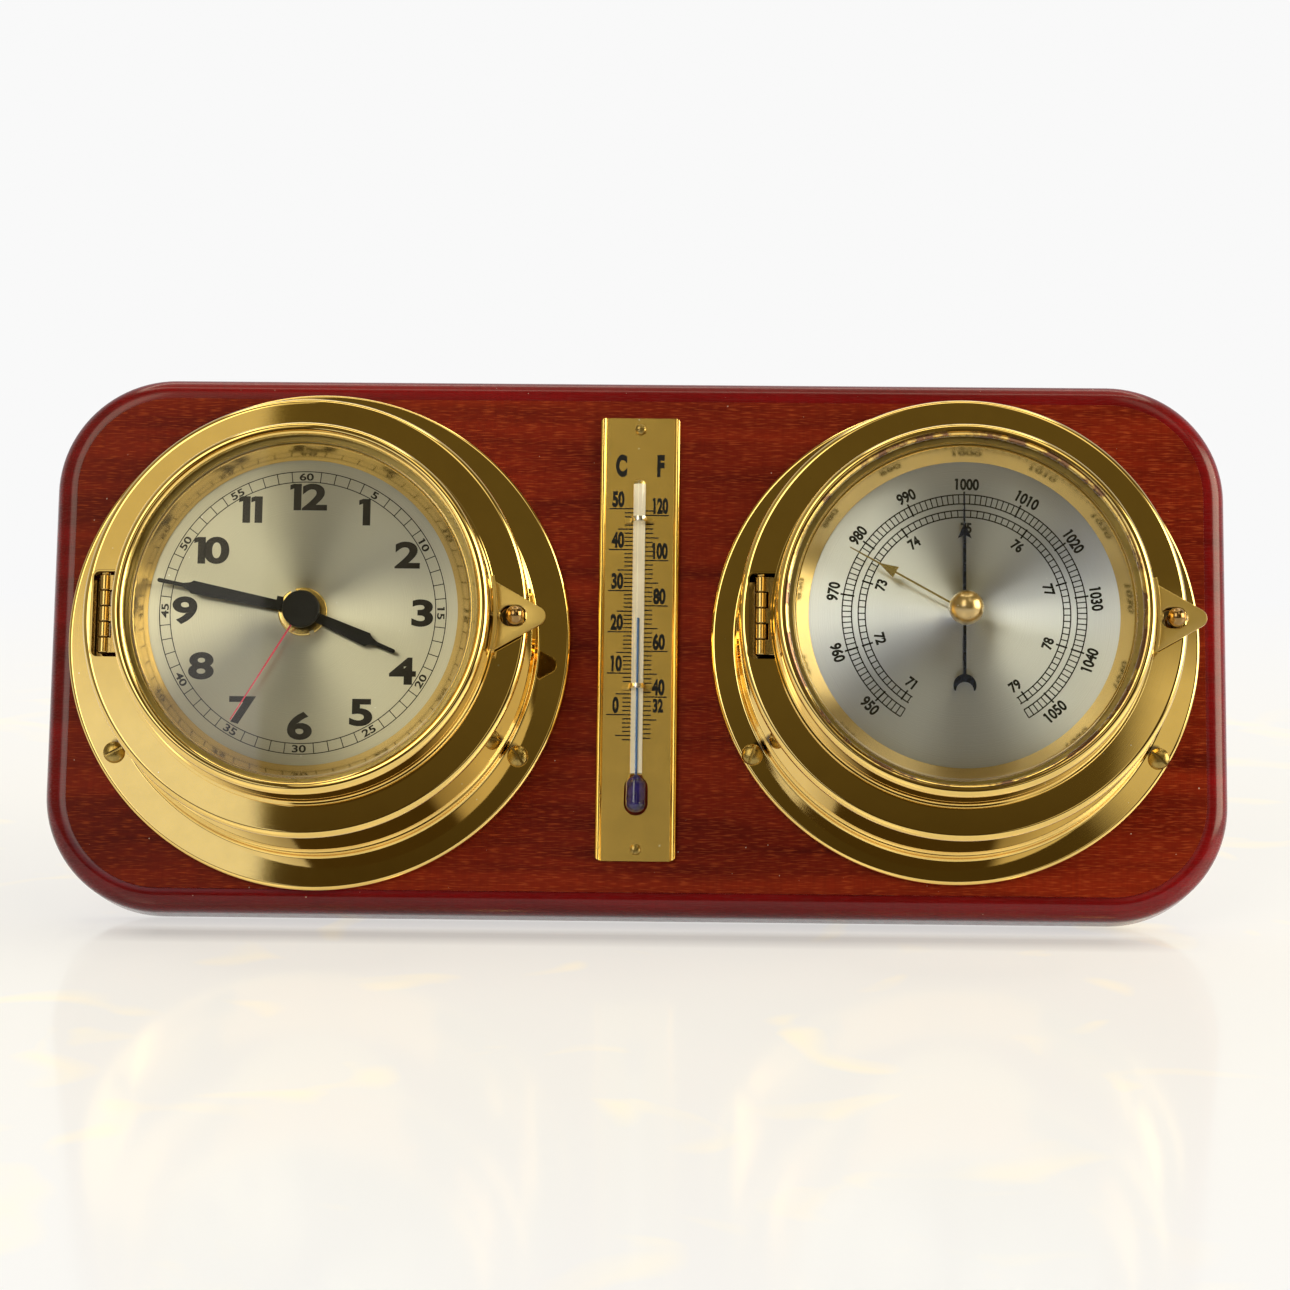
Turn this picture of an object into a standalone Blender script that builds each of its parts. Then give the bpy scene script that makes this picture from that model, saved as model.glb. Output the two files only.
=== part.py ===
"""Clock and aneroid barometer in hinged brass porthole cases, with a thermometer between them, on a wall board.

Sizes are in metres. Every piece is drawn in a frame whose X points right, Y up and Z out of the board's
front, with zero height on the board's front face. The frames are empties, turned so that the finished
model has its front towards -Y, +Z up and its origin in the middle of the board's back face.
"""
import math

import bmesh
import bpy
from mathutils import Matrix, Vector

# Fits that the whole object shares
touch_gap = 0.0003
running_gap = 0.0003
cut_overrun = 0.002
merge_distance = 0.000005
smooth_angle = math.radians(35)
turned_steps = 40
ring_steps = 32
knob_steps = 16
small_steps = 10
fine_steps = 8

# Dial and the ring that frames it
dial_visible_radius = 0.04445
dial_thickness = 0.0012
dial_ring_flare = 0.00355
dial_ring_land = 0.0012
dial_seat_width = 0.004
dial_ring_gap = 0.0005

# Door: a turned brass bezel with a bevelled glass
bezel_bore_gap = 0.0023
bezel_wall = 0.00375
bezel_taper = 0.00135
bezel_foot_height = 0.0009
lip_reach = 0.0013
lip_thickness = 0.00095
glass_thickness = 0.002
glass_bevel_width = 0.0018
glass_bevel_drop = 0.0007
retainer_width = 0.0026
retainer_height = 0.0011

# Case: one spun brass shell with a flange that is screwed to the board
case_height = 0.042
case_wall = 0.0012
face_margin = 0.00915
face_edge_radius = 0.0018
drum_band_height = 0.011
drum_band_step = 0.0005
cove_radius = 0.001
flange_thickness = 0.003
flange_edge_radius = 0.0012
clock_flange_width = 0.0106
barometer_flange_width = 0.0082
flange_screw_inset = 0.0048
flange_screw_angles = (90, 210, 330)

# Wood screws with slotted round heads
screw_head_radius = 0.00315
screw_head_height = 0.0021
screw_shank_radius = 0.0015
screw_bite = 0.009
screw_slot_width = 0.0008
screw_slot_depth = 0.0009

# Hinge of each door
hinge_offset = 0.00275
hinge_length = 0.0226
knuckle_count = 5
knuckle_radius = 0.0018
pin_radius = 0.0008
pin_head_radius = 0.0014
pin_head_height = 0.0006
leaf_thickness = 0.001
leaf_overhang = 0.0006
case_leaf_length = 0.011
case_leaf_foot = 0.004
slot_outer_gap = 0.0021
slot_end_gap = 0.0017
slot_corner_radius = 0.0022

# Catch of each door
catch_offset = 0.00545
tab_half_height = 0.0108
tab_reach = 0.0142
tab_tip_radius = 0.0028
tab_thickness = 0.0012
tab_upright_height = 0.0058
tab_hole_half_length = 0.0039
tab_hole_half_width = 0.00305
tab_hole_shift = 0.0006
stud_ball_radius = 0.00275
stud_neck_radius = 0.0014
stud_collar_radius = 0.0023
stud_collar_height = 0.0006
stud_shank_radius = 0.0013
stud_shank_proud = 0.0015
stud_ball_lift = 0.0037
tab_screw_head_radius = 0.0012
tab_screw_head_height = 0.0007
tab_screw_shank_radius = 0.0006
tab_screw_depth = 0.0012

# Quartz movement, its battery and its setting knob
battery_radius = 0.0071
battery_length = 0.05
battery_cap_radius = 0.0027
battery_cap_length = 0.001
battery_edge_wall = 0.0015
movement_floor = 0.0007
movement_side_wall = 0.0027
movement_corner_radius = 0.004
movement_bore_depth = 0.006
bushing_wall = 0.0009
nut_radius = 0.0071
nut_height = 0.0015
nut_chamfer = 0.0006
bushing_proud = 0.0004
set_knob_radius = 0.005
set_knob_height = 0.003
set_knob_stem_radius = 0.0016
set_knob_stem_depth = 0.003
set_knob_flute_radius = 0.0009
set_knob_flutes = 8

# Clock hands, each with a pipe that turns in the next one out
hand_thickness = 0.0004
hand_boss_height = 0.0009
hand_spacing = 0.0013
second_thickness = 0.0003
second_pin_radius = 0.00065
pipe_wall = 0.0005
hour_boss_radius = 0.0036
minute_boss_radius = 0.0032
cap_radius = 0.0054
cap_height = 0.0017
cap_edge_radius = 0.0005
hand_glass_gap = 0.0005
hand_root_half_width = 0.00125
hand_tip_half_width = 0.0006
hand_neck = 0.0022
hand_shoulder_chamfer = 0.0006
lug_start = 0.0058
lug_length = 0.0019
lug_reach = 0.0026
hour_length = 0.0293
hour_shoulder = 0.0212
hour_shoulder_half_width = 0.00205
minute_length = 0.0425
minute_shoulder = 0.0328
minute_shoulder_half_width = 0.0019
second_length = 0.0375
second_half_width = 0.00028
hour_angle = 113.5
minute_angle = 281.5
second_angle = 211

# Barometer pointer, marker hand and knob
pointer_lift = 0.0026
pointer_thickness = 0.0004
pointer_length = 0.0352
pointer_arrow_start = 0.0217
pointer_arrow_length = 0.0042
pointer_barb_half_width = 0.002
pointer_barb_rise = 0.0009
pointer_rod_half_width = 0.00045
pointer_needle_half_width = 0.00025
pointer_tail = 0.0209
crescent_radius = 0.0033
crescent_sink = 0.00155
crescent_inner_radius = 0.00255
pointer_boss_radius = 0.0025
pointer_boss_height = 0.0016
arbor_radius = 0.0012
arbor_drop = 0.003
marker_length = 0.0376
marker_head_start = 0.0226
marker_head_length = 0.0048
marker_head_half_width = 0.0018
marker_rod_half_width = 0.0003
marker_thickness = 0.0004
marker_boss_radius = 0.0027
marker_boss_height = 0.001
marker_shaft_radius = 0.0016
marker_knob_radius = 0.005
marker_knob_height = 0.0078
marker_knob_neck_radius = 0.0034
marker_knob_neck_height = 0.0018
marker_angle = 299

# Aneroid mechanism behind the barometer dial
frame_plate_radius = 0.04
frame_plate_thickness = 0.0015
pillar_radius = 0.0025
pillar_inset = 0.004
capsule_radius = 0.025
capsule_height = 0.008
capsule_ridge = 0.0012
capsule_ridges = 3
capsule_stud_radius = 0.003
capsule_stud_height = 0.0035
spring_width = 0.014
spring_thickness = 0.0012
spring_clearance = 0.0022
spring_reach = 0.031
spring_foot = 0.006
spring_tongue = 0.006
rocker_offset = 0.029
rocker_swing_room = 0.0019
rocker_radius = 0.0012
rocker_length = 0.022
rocker_headroom = 0.0042
rocker_drop = 0.0061
rocker_arm_width = 0.003
rocker_arm_thickness = 0.0012
bracket_thickness = 0.0018
bracket_width = 0.006

# Board with a moulded front edge
middle_gap = 0.0416
barometer_rise = 0.0011
board_side_margin = 0.0062
board_end_margin = 0.0061
board_thickness = 0.018
board_corner_radius = 0.035
board_corner_steps = 6
ovolo_radius = 0.006
ovolo_steps = 4
quirk_width = 0.0007
quirk_depth = 0.0008
access_margin = 0.01
adjuster_hole_radius = 0.005

# Keyhole hanger plates on the back
hanger_width = 0.05
hanger_height = 0.02
hanger_corner_radius = 0.0025
hanger_thickness = 0.0015
hanger_from_top = 0.022
keyhole_head_radius = 0.0045
keyhole_slot_radius = 0.0022
keyhole_rise = 0.0085
keyhole_drop = 0.0035
keyhole_pocket_depth = 0.007
keyhole_pocket_margin = 0.001
hanger_screw_spread = 0.019
hanger_screw_head_radius = 0.003
hanger_screw_shank_radius = 0.0014
hanger_screw_depth = 0.009

# Thermometer
thermometer_half_width = 0.012
thermometer_length = 0.134
thermometer_shift = 0.0004
thermometer_rise = 0.00175
thermometer_plate_thickness = 0.0012
thermometer_bead_radius = 0.0009
thermometer_corner_radius = 0.002
tube_radius = 0.0018
tube_bore_radius = 0.0008
tube_nail_gap = 0.016
bulb_radius = 0.0029
bulb_wall = 0.0005
bulb_length = 0.0106
bulb_nail_gap = 0.0107
bulb_neck = 0.003
tube_lift = 0.0024
bulb_window_margin = 0.0006
spirit_column = 0.0476
clip_drop = 0.0121
clip_rise = 0.027
clip_width = 0.003
clip_thickness = 0.0004
clip_foot = 0.0018
nail_inset = 0.0035
nail_head_radius = 0.0016
nail_head_height = 0.0009
nail_shank_radius = 0.0006
nail_bite = 0.008

# Radii of each instrument, from the dial outwards
dial_ring_top_radius = dial_visible_radius + dial_ring_flare
dial_radius = dial_ring_top_radius + dial_ring_land
case_opening_radius = dial_radius - dial_seat_width
bezel_bore_radius = dial_radius + bezel_bore_gap
bezel_base_radius = bezel_bore_radius + bezel_wall
bezel_rim_radius = bezel_base_radius - bezel_taper
lip_radius = bezel_bore_radius - lip_reach
rim_bead_radius = (bezel_rim_radius - lip_radius) / 2
glass_radius = bezel_bore_radius - touch_gap
case_radius = bezel_base_radius + face_margin
drum_bore_radius = case_radius - case_wall
flange_root_radius = case_radius + drum_band_step + cove_radius
screw_circle_radius = case_radius + flange_screw_inset
clock_flange_radius = case_radius + clock_flange_width
barometer_flange_radius = case_radius + barometer_flange_width

# Pipes and arbors, from the second hand's pin outwards
minute_bore_radius = second_pin_radius + running_gap
minute_pipe_radius = minute_bore_radius + pipe_wall
hour_bore_radius = minute_pipe_radius + running_gap
hour_pipe_radius = hour_bore_radius + pipe_wall
bushing_bore_radius = hour_pipe_radius + running_gap
bushing_radius = bushing_bore_radius + bushing_wall

# Heights above the board's front, from the case face outwards
dial_back = case_height + touch_gap
dial_front = dial_back + dial_thickness
nut_bottom = dial_front + touch_gap
bushing_top = nut_bottom + nut_height + bushing_proud
hour_bottom = bushing_top + running_gap
minute_bottom = hour_bottom + hand_boss_height + hand_spacing
second_bottom = minute_bottom + hand_boss_height + hand_spacing
cap_top = second_bottom + cap_height
glass_bottom = cap_top + hand_glass_gap
glass_top = glass_bottom + glass_thickness
glass_edge_top = glass_top - glass_bevel_drop
lip_bottom = glass_edge_top + touch_gap
rim_foot = lip_bottom + lip_thickness
retainer_top = glass_bottom - touch_gap
retainer_bottom = retainer_top - retainer_height
dial_ring_top = retainer_bottom - dial_ring_gap
bezel_bottom = case_height + touch_gap
bezel_foot_top = bezel_bottom + bezel_foot_height

# Places of the hinge, the catch, the movement and the board
hinge_x = -(bezel_base_radius + hinge_offset)
hinge_height = bezel_bottom - touch_gap - leaf_thickness
catch_x = bezel_base_radius + catch_offset
movement_top = dial_back - touch_gap
movement_depth = 2 * battery_radius + 2 * touch_gap + movement_floor
movement_bottom = movement_top - movement_depth
movement_width = battery_length + 2 * battery_cap_length + 2 * movement_side_wall
battery_y = -(movement_width / 2 - battery_edge_wall - touch_gap - battery_radius)
instrument_spacing = clock_flange_radius + middle_gap + barometer_flange_radius
board_half_width = instrument_spacing / 2 + clock_flange_radius + board_side_margin
board_half_height = clock_flange_radius + board_end_margin
access_hole_radius = movement_width / 2 + access_margin

brass = ((0.80, 0.58, 0.24), 0.12, 1.0, 0.0)
dark_brass = ((0.55, 0.38, 0.14), 0.3, 1.0, 0.0)
silver = ((0.62, 0.60, 0.54), 0.35, 1.0, 0.0)
gilt = ((0.72, 0.60, 0.36), 0.4, 1.0, 0.0)
steel = ((0.55, 0.55, 0.56), 0.3, 1.0, 0.0)
black = ((0.02, 0.02, 0.022), 0.5, 0.0, 0.0)
blued = ((0.03, 0.035, 0.06), 0.35, 0.8, 0.0)
crimson = ((0.75, 0.05, 0.12), 0.4, 0.0, 0.0)
mahogany = ((0.30, 0.035, 0.015), 0.2, 0.0, 0.0)
clear_glass = ((0.95, 0.97, 0.97), 0.02, 0.0, 1.0)
spirit_blue = ((0.02, 0.05, 0.25), 0.1, 0.0, 0.0)
battery_wrap = ((0.08, 0.08, 0.09), 0.4, 0.0, 0.0)


def add_material(name, look):
    """Principled material from a colour, roughness, metallic and transmission."""
    colour, roughness, metallic, transmission = look
    material = bpy.data.materials.new(name)
    material.use_nodes = True
    shader = material.node_tree.nodes["Principled BSDF"]
    shader.inputs["Base Color"].default_value = (*colour, 1.0)
    shader.inputs["Roughness"].default_value = roughness
    shader.inputs["Metallic"].default_value = metallic
    shader.inputs["Transmission Weight"].default_value = transmission
    return material


def add_object(name, shape, frame, pivot=(0, 0, 0), turn=0):
    """Object whose origin is on its pivot, turned clockwise as seen from the front."""
    mesh = bpy.data.meshes.new(name)
    shape.to_mesh(mesh)
    shape.free()
    mesh.transform(Matrix.Translation(-Vector(pivot)))
    mesh.shade_smooth()
    mesh.set_sharp_from_angle(angle=smooth_angle)
    made = bpy.data.objects.new(name, mesh)
    bpy.context.collection.objects.link(made)
    made.parent = frame
    made.location = pivot
    made.rotation_euler = (0, 0, -math.radians(turn))
    return made


def add_piece(name, shape, look, frame, pivot=(0, 0, 0), turn=0):
    """Visible piece with a material of its own."""
    made = add_object(name, shape, frame, pivot, turn)
    made.data.materials.append(add_material(name + "_finish", look))
    return made


def combine(target, operation, name, shape, frame, pivot=(0, 0, 0), turn=0):
    """Cut, join or trim a piece with a hidden tool of the given shape."""
    tool = add_object(target.name + "_" + name, shape, frame, pivot, turn)
    tool.hide_render = True
    tool.display_type = "WIRE"
    change = target.modifiers.new(name, "BOOLEAN")
    change.operation = operation
    change.solver = "EXACT"
    change.object = tool


def arc(centre, radius, start, end, steps):
    """Points on an arc from one angle to another, in degrees, both ends included."""
    across, up = centre
    angles = [math.radians(start + (end - start) * step / steps) for step in range(steps + 1)]
    return [(across + radius * math.cos(angle), up + radius * math.sin(angle)) for angle in angles]


def rounded_rectangle(half_width, half_height, radius, steps):
    """Counter-clockwise outline of a rectangle with round corners."""
    across = half_width - radius
    up = half_height - radius
    outline = arc((across, up), radius, 0, 90, steps)
    outline += arc((-across, up), radius, 90, 180, steps)
    outline += arc((-across, -up), radius, 180, 270, steps)
    outline += arc((across, -up), radius, 270, 360, steps)
    return outline


def moved(outline, across, up):
    """The outline shifted in its own plane."""
    return [(x + across, y + up) for x, y in outline]


def turned(profile, steps=turned_steps):
    """Solid of a (radius, height) profile spun about Z. A profile from axis to axis stays open there."""
    shape = bmesh.new()
    points = [shape.verts.new((radius, 0, height)) for radius, height in profile]
    pairs = list(zip(points, points[1:]))
    if profile[0][0] > 0:
        pairs.append((points[-1], points[0]))
    edges = [shape.edges.new(pair) for pair in pairs]
    half_step = Matrix.Rotation(math.pi / steps, 3, "Z")
    bmesh.ops.rotate(shape, verts=shape.verts, cent=(0, 0, 0), matrix=half_step)
    bmesh.ops.spin(shape, geom=points + edges, cent=(0, 0, 0), axis=(0, 0, 1), angle=math.tau, steps=steps)
    bmesh.ops.remove_doubles(shape, verts=shape.verts, dist=merge_distance)
    bmesh.ops.recalc_face_normals(shape, faces=shape.faces)
    return shape


def rod(radius, bottom, top, steps=small_steps):
    """Plain round bar along Z."""
    return turned([(0, top), (radius, top), (radius, bottom), (0, bottom)], steps)


def prism(outline, bottom, top):
    """Outline in the XY plane made solid between two heights."""
    shape = bmesh.new()
    corners = [shape.verts.new((x, y, bottom)) for x, y in outline]
    base = shape.faces.new(corners)
    grown = bmesh.ops.extrude_face_region(shape, geom=[base])
    raised = [part for part in grown["geom"] if isinstance(part, bmesh.types.BMVert)]
    bmesh.ops.translate(shape, verts=raised, vec=(0, 0, top - bottom))
    bmesh.ops.recalc_face_normals(shape, faces=shape.faces)
    return shape


def block(left, right, low, high, bottom, top):
    """Box between two values along each axis."""
    return prism([(left, low), (right, low), (right, high), (left, high)], bottom, top)


def lofted(loops):
    """Solid skin over a stack of loops with the same number of points."""
    shape = bmesh.new()
    rings = [[shape.verts.new(point) for point in loop] for loop in loops]
    for lower, upper in zip(rings, rings[1:]):
        for index in range(len(lower)):
            shape.faces.new((lower[index - 1], lower[index], upper[index], upper[index - 1]))
    shape.faces.new(rings[0])
    shape.faces.new(rings[-1])
    bmesh.ops.recalc_face_normals(shape, faces=shape.faces)
    return shape


def shifted(shape, across=0, up=0, out=0):
    """The shape moved along X, Y and Z."""
    bmesh.ops.translate(shape, verts=shape.verts, vec=(across, up, out))
    return shape


def along_y(shape):
    """A shape drawn along Z, laid so that its height runs up the board."""
    bmesh.ops.rotate(shape, verts=shape.verts, cent=(0, 0, 0), matrix=Matrix.Rotation(-math.pi / 2, 3, "X"))
    return shape


def along_x(shape):
    """A shape drawn along Z, laid so that its height runs to the right."""
    bmesh.ops.rotate(shape, verts=shape.verts, cent=(0, 0, 0), matrix=Matrix.Rotation(math.pi / 2, 3, "Y"))
    return shape


def section_along_y(outline, half_length):
    """An outline of (across, height) points, made solid along the board's up direction."""
    shape = prism(outline, -half_length, half_length)
    bmesh.ops.rotate(shape, verts=shape.verts, cent=(0, 0, 0), matrix=Matrix.Rotation(math.pi / 2, 3, "X"))
    return shape


def on_circle(radius, degrees):
    """Point on a circle round the instrument's axis."""
    angle = math.radians(degrees)
    return radius * math.cos(angle), radius * math.sin(angle)


def add_frame(name, location):
    """Empty that turns drawings of the board's front upright, facing -Y."""
    frame = bpy.data.objects.new(name, None)
    bpy.context.collection.objects.link(frame)
    frame.location = location
    frame.rotation_euler = (math.pi / 2, 0, 0)
    return frame


def screw_shape(head_radius, head_height, shank_radius, seat, depth):
    """Round-headed screw or nail, seated at one height and driven down to another."""
    dome = [(0, seat + head_height)]
    dome += [(head_radius * math.sin(angle), seat + head_height * math.cos(angle))
             for angle in (math.radians(36), math.radians(66))]
    dome += [(head_radius, seat), (shank_radius, seat), (shank_radius, depth), (0, depth)]
    return turned(dome, small_steps)


def hinge_leaf(name, look, frame, pivot, knuckles, length, side):
    """Leaf with its knuckles on the pivot's vertical line. Side 1 lies flat, side -1 hangs down."""
    pitch = (hinge_length + running_gap) / knuckle_count
    knuckle_length = pitch - running_gap
    lowest = -hinge_length / 2
    outline = [(length, lowest), (length, -lowest)]
    root = pin_radius + running_gap / 2
    notch = knuckle_radius + running_gap
    for index in reversed(range(knuckle_count)):
        start = lowest + index * pitch
        end = start + knuckle_length
        edge = root if index in knuckles else notch
        margin = 0 if index in knuckles else running_gap
        top = min(end + margin, -lowest)
        bottom = max(start - margin, lowest)
        outline += [(edge, top), (edge, bottom)]
    shape = prism(outline, 0, side * leaf_thickness)
    leaf = add_piece(name, shape, look, frame)
    for index in knuckles:
        start = lowest + index * pitch
        barrel = along_y(rod(knuckle_radius, start, start + knuckle_length))
        combine(leaf, "UNION", f"knuckle_{index + 1}", barrel, frame)
    bore = along_y(rod(pin_radius + running_gap, lowest - cut_overrun, cut_overrun - lowest))
    combine(leaf, "DIFFERENCE", "pin_bore", bore, frame)
    for part in [leaf] + [change.object for change in leaf.modifiers]:
        if side < 0:
            part.data.transform(Matrix.Rotation(math.pi / 2, 4, "Y"))
        part.location = pivot
    return leaf


def build_case(name, frame, flange_radius):
    """Spun shell: flange, cove, banded drum, round edge and flat face, open at the back."""
    edge_centre = (case_radius - face_edge_radius, case_height - face_edge_radius)
    band_radius = case_radius + drum_band_step
    cove_centre = (flange_root_radius, flange_thickness + cove_radius)
    rim_centre = (flange_radius - flange_edge_radius, flange_thickness - flange_edge_radius)
    profile = [(case_opening_radius, case_height)]
    profile += arc(edge_centre, face_edge_radius, 90, 0, 3)
    profile += [(case_radius, drum_band_height + drum_band_step), (band_radius, drum_band_height)]
    profile += arc(cove_centre, cove_radius, 180, 270, 1)
    profile += arc(rim_centre, flange_edge_radius, 90, 0, 2)
    profile += [(flange_radius, touch_gap), (drum_bore_radius, touch_gap)]
    profile += [(drum_bore_radius, case_height - case_wall), (case_opening_radius, case_height - case_wall)]
    case = add_piece(name, turned(profile), brass, frame)

    slot_left = hinge_x - knuckle_radius - slot_outer_gap
    slot_right = -(bezel_bore_radius - leaf_overhang) + touch_gap
    half_height = hinge_length / 2 + slot_end_gap
    outline = [(slot_right, -half_height), (slot_right, half_height)]
    outline += arc((slot_left + slot_corner_radius, half_height - slot_corner_radius), slot_corner_radius, 90, 180, 4)
    outline += arc((slot_left + slot_corner_radius, slot_corner_radius - half_height), slot_corner_radius, 180, 270, 4)
    slot = prism(outline, case_height - case_wall - cut_overrun, case_height + cut_overrun)
    combine(case, "DIFFERENCE", "hinge_slot", slot, frame)

    stud_hole = rod(stud_shank_radius + touch_gap, case_height - case_wall - cut_overrun, case_height + cut_overrun)
    combine(case, "DIFFERENCE", "stud_hole", shifted(stud_hole, catch_x), frame)
    for number, degrees in enumerate(flange_screw_angles, 1):
        across, up = on_circle(screw_circle_radius, degrees)
        hole = rod(screw_shank_radius + touch_gap, -cut_overrun, flange_thickness + cut_overrun)
        combine(case, "DIFFERENCE", f"screw_hole_{number}", shifted(hole, across, up), frame)


def build_door(prefix, frame, glass_hole_radius):
    """Bezel, bevelled glass and its retaining ring, all on the hinge line."""
    pivot = (hinge_x, 0, hinge_height)
    foot_radius = bezel_rim_radius + (bezel_base_radius - bezel_rim_radius) / 3
    rim_centre = ((lip_radius + bezel_rim_radius) / 2, rim_foot)
    profile = arc(rim_centre, rim_bead_radius, 180, 0, 5)
    profile += [(foot_radius, bezel_foot_top), (bezel_base_radius, bezel_foot_top)]
    profile += [(bezel_base_radius, bezel_bottom), (bezel_bore_radius, bezel_bottom)]
    profile += [(bezel_bore_radius, lip_bottom), (lip_radius, lip_bottom)]
    bezel = add_piece(f"{prefix}_bezel", turned(profile), brass, frame, pivot)
    hole = along_x(rod(tab_screw_shank_radius + touch_gap, bezel_rim_radius - tab_screw_depth - touch_gap,
                       bezel_base_radius + cut_overrun, fine_steps))
    combine(bezel, "DIFFERENCE", "tab_screw_hole", shifted(hole, out=tab_screw_height), frame, pivot)

    glass_profile = [(lip_radius - glass_bevel_width, glass_top), (lip_radius, glass_edge_top)]
    glass_profile += [(glass_radius, glass_edge_top), (glass_radius, glass_bottom)]
    if glass_hole_radius > 0:
        glass_profile = [(glass_hole_radius, glass_top)] + glass_profile + [(glass_hole_radius, glass_bottom)]
    else:
        glass_profile = [(0, glass_top)] + glass_profile + [(0, glass_bottom)]
    add_piece(f"{prefix}_glass", turned(glass_profile, ring_steps), clear_glass, frame, pivot)

    ring = [(glass_radius - retainer_width, retainer_top), (glass_radius, retainer_top)]
    ring += [(glass_radius, retainer_bottom), (glass_radius - retainer_width, retainer_bottom)]
    add_piece(f"{prefix}_glass_retainer", turned(ring, ring_steps), dark_brass, frame, pivot)


def build_dial(prefix, frame, hole_radius):
    """Silvered dial plate that lies on the case face, under a flared brass ring."""
    plate = [(hole_radius, dial_front), (dial_radius, dial_front), (dial_radius, dial_back), (hole_radius, dial_back)]
    add_piece(f"{prefix}_dial", turned(plate, ring_steps), silver, frame)
    ring = [(dial_ring_top_radius, dial_ring_top), (dial_radius, dial_ring_top)]
    ring += [(dial_radius, dial_front + touch_gap), (dial_visible_radius, dial_front + touch_gap)]
    add_piece(f"{prefix}_dial_ring", turned(ring, ring_steps), brass, frame)


def build_hinge(prefix, frame):
    """Five-knuckle hinge: outer and middle knuckles on the bezel, the other two on the case."""
    pivot = (hinge_x, 0, hinge_height)
    bezel_leaf_length = -hinge_x - bezel_bore_radius + leaf_overhang
    odd = range(0, knuckle_count, 2)
    even = range(1, knuckle_count, 2)
    hinge_leaf(f"{prefix}_hinge_leaf_bezel", dark_brass, frame, pivot, odd, bezel_leaf_length, 1)
    leaf = hinge_leaf(f"{prefix}_hinge_leaf_case", dark_brass, frame, pivot, even, case_leaf_length, -1)
    foot_top = hinge_height - case_leaf_length + case_leaf_foot
    foot = block(-case_radius, hinge_x, -hinge_length / 2, hinge_length / 2, hinge_height - case_leaf_length, foot_top)
    combine(leaf, "UNION", "foot", foot, frame)
    inside = rod(drum_bore_radius - touch_gap, 0, case_height + knuckle_radius + cut_overrun, turned_steps)
    combine(leaf, "INTERSECT", "drum_bore", inside, frame)
    half = hinge_length / 2
    pin = [(0, half + touch_gap + pin_head_height), (pin_head_radius, half + touch_gap + pin_head_height)]
    pin += [(pin_head_radius, half + touch_gap), (pin_radius, half + touch_gap), (pin_radius, -half), (0, -half)]
    add_piece(f"{prefix}_hinge_pin", shifted(along_y(turned(pin, fine_steps)), hinge_x, 0, hinge_height), dark_brass,
              frame)


def build_catch(prefix, frame):
    """Ball stud riveted to the case, and the angled tab on the door that snaps over it."""
    ball_height = case_height + stud_ball_lift
    stud = [(0, ball_height + stud_ball_radius)]
    stud += arc((0, ball_height), stud_ball_radius, 60, -40, 5)
    stud += [(stud_neck_radius, ball_height - stud_ball_radius)]
    stud += [(stud_neck_radius, case_height + touch_gap + stud_collar_height)]
    stud += [(stud_collar_radius, case_height + touch_gap + stud_collar_height)]
    stud += [(stud_collar_radius, case_height + touch_gap), (stud_shank_radius, case_height + touch_gap)]
    stud += [(stud_shank_radius, case_height - case_wall - stud_shank_proud)]
    stud += [(0, case_height - case_wall - stud_shank_proud)]
    add_piece(f"{prefix}_catch_stud", shifted(turned(stud, small_steps), catch_x), brass, frame)

    pivot = (hinge_x, 0, hinge_height)
    spread = math.degrees(math.asin(tab_half_height / bezel_base_radius))
    tip_centre = (bezel_base_radius + tab_reach - tab_tip_radius, 0)
    outline = arc((0, 0), tab_inner_radius, -spread, spread, 6)
    outline += arc(tip_centre, tab_tip_radius, 55, -55, 5)
    tab = add_piece(f"{prefix}_catch_tab", prism(outline, tab_bottom, tab_bottom + tab_thickness), brass, frame, pivot)
    sector = arc((0, 0), tab_inner_radius, -spread, spread, 6)
    sector += arc((0, 0), tab_inner_radius + tab_thickness, spread, -spread, 6)
    upright = prism(sector, tab_bottom, tab_bottom + tab_upright_height)
    combine(tab, "UNION", "upright", upright, frame, pivot)
    slot = arc((0, 0), tab_hole_half_width, -90, 90, 5)
    slot = moved(slot, tab_hole_half_length - tab_hole_half_width, 0)
    slot += [(-x, -y) for x, y in slot]
    slot = moved(slot, catch_x - tab_hole_shift, 0)
    hole = prism(slot, tab_bottom - cut_overrun, tab_bottom + tab_thickness + cut_overrun)
    combine(tab, "DIFFERENCE", "stud_hole", hole, frame, pivot)
    screw_hole = along_x(rod(tab_screw_shank_radius + touch_gap, tab_inner_radius - cut_overrun,
                             tab_inner_radius + tab_thickness + cut_overrun, fine_steps))
    combine(tab, "DIFFERENCE", "screw_hole", shifted(screw_hole, out=tab_screw_height), frame, pivot)

    seat = tab_inner_radius + tab_thickness + touch_gap
    screw = along_x(screw_shape(tab_screw_head_radius, tab_screw_head_height, tab_screw_shank_radius, seat,
                                bezel_rim_radius - tab_screw_depth))
    add_piece(f"{prefix}_tab_screw", shifted(screw, out=tab_screw_height), brass, frame, pivot)


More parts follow.
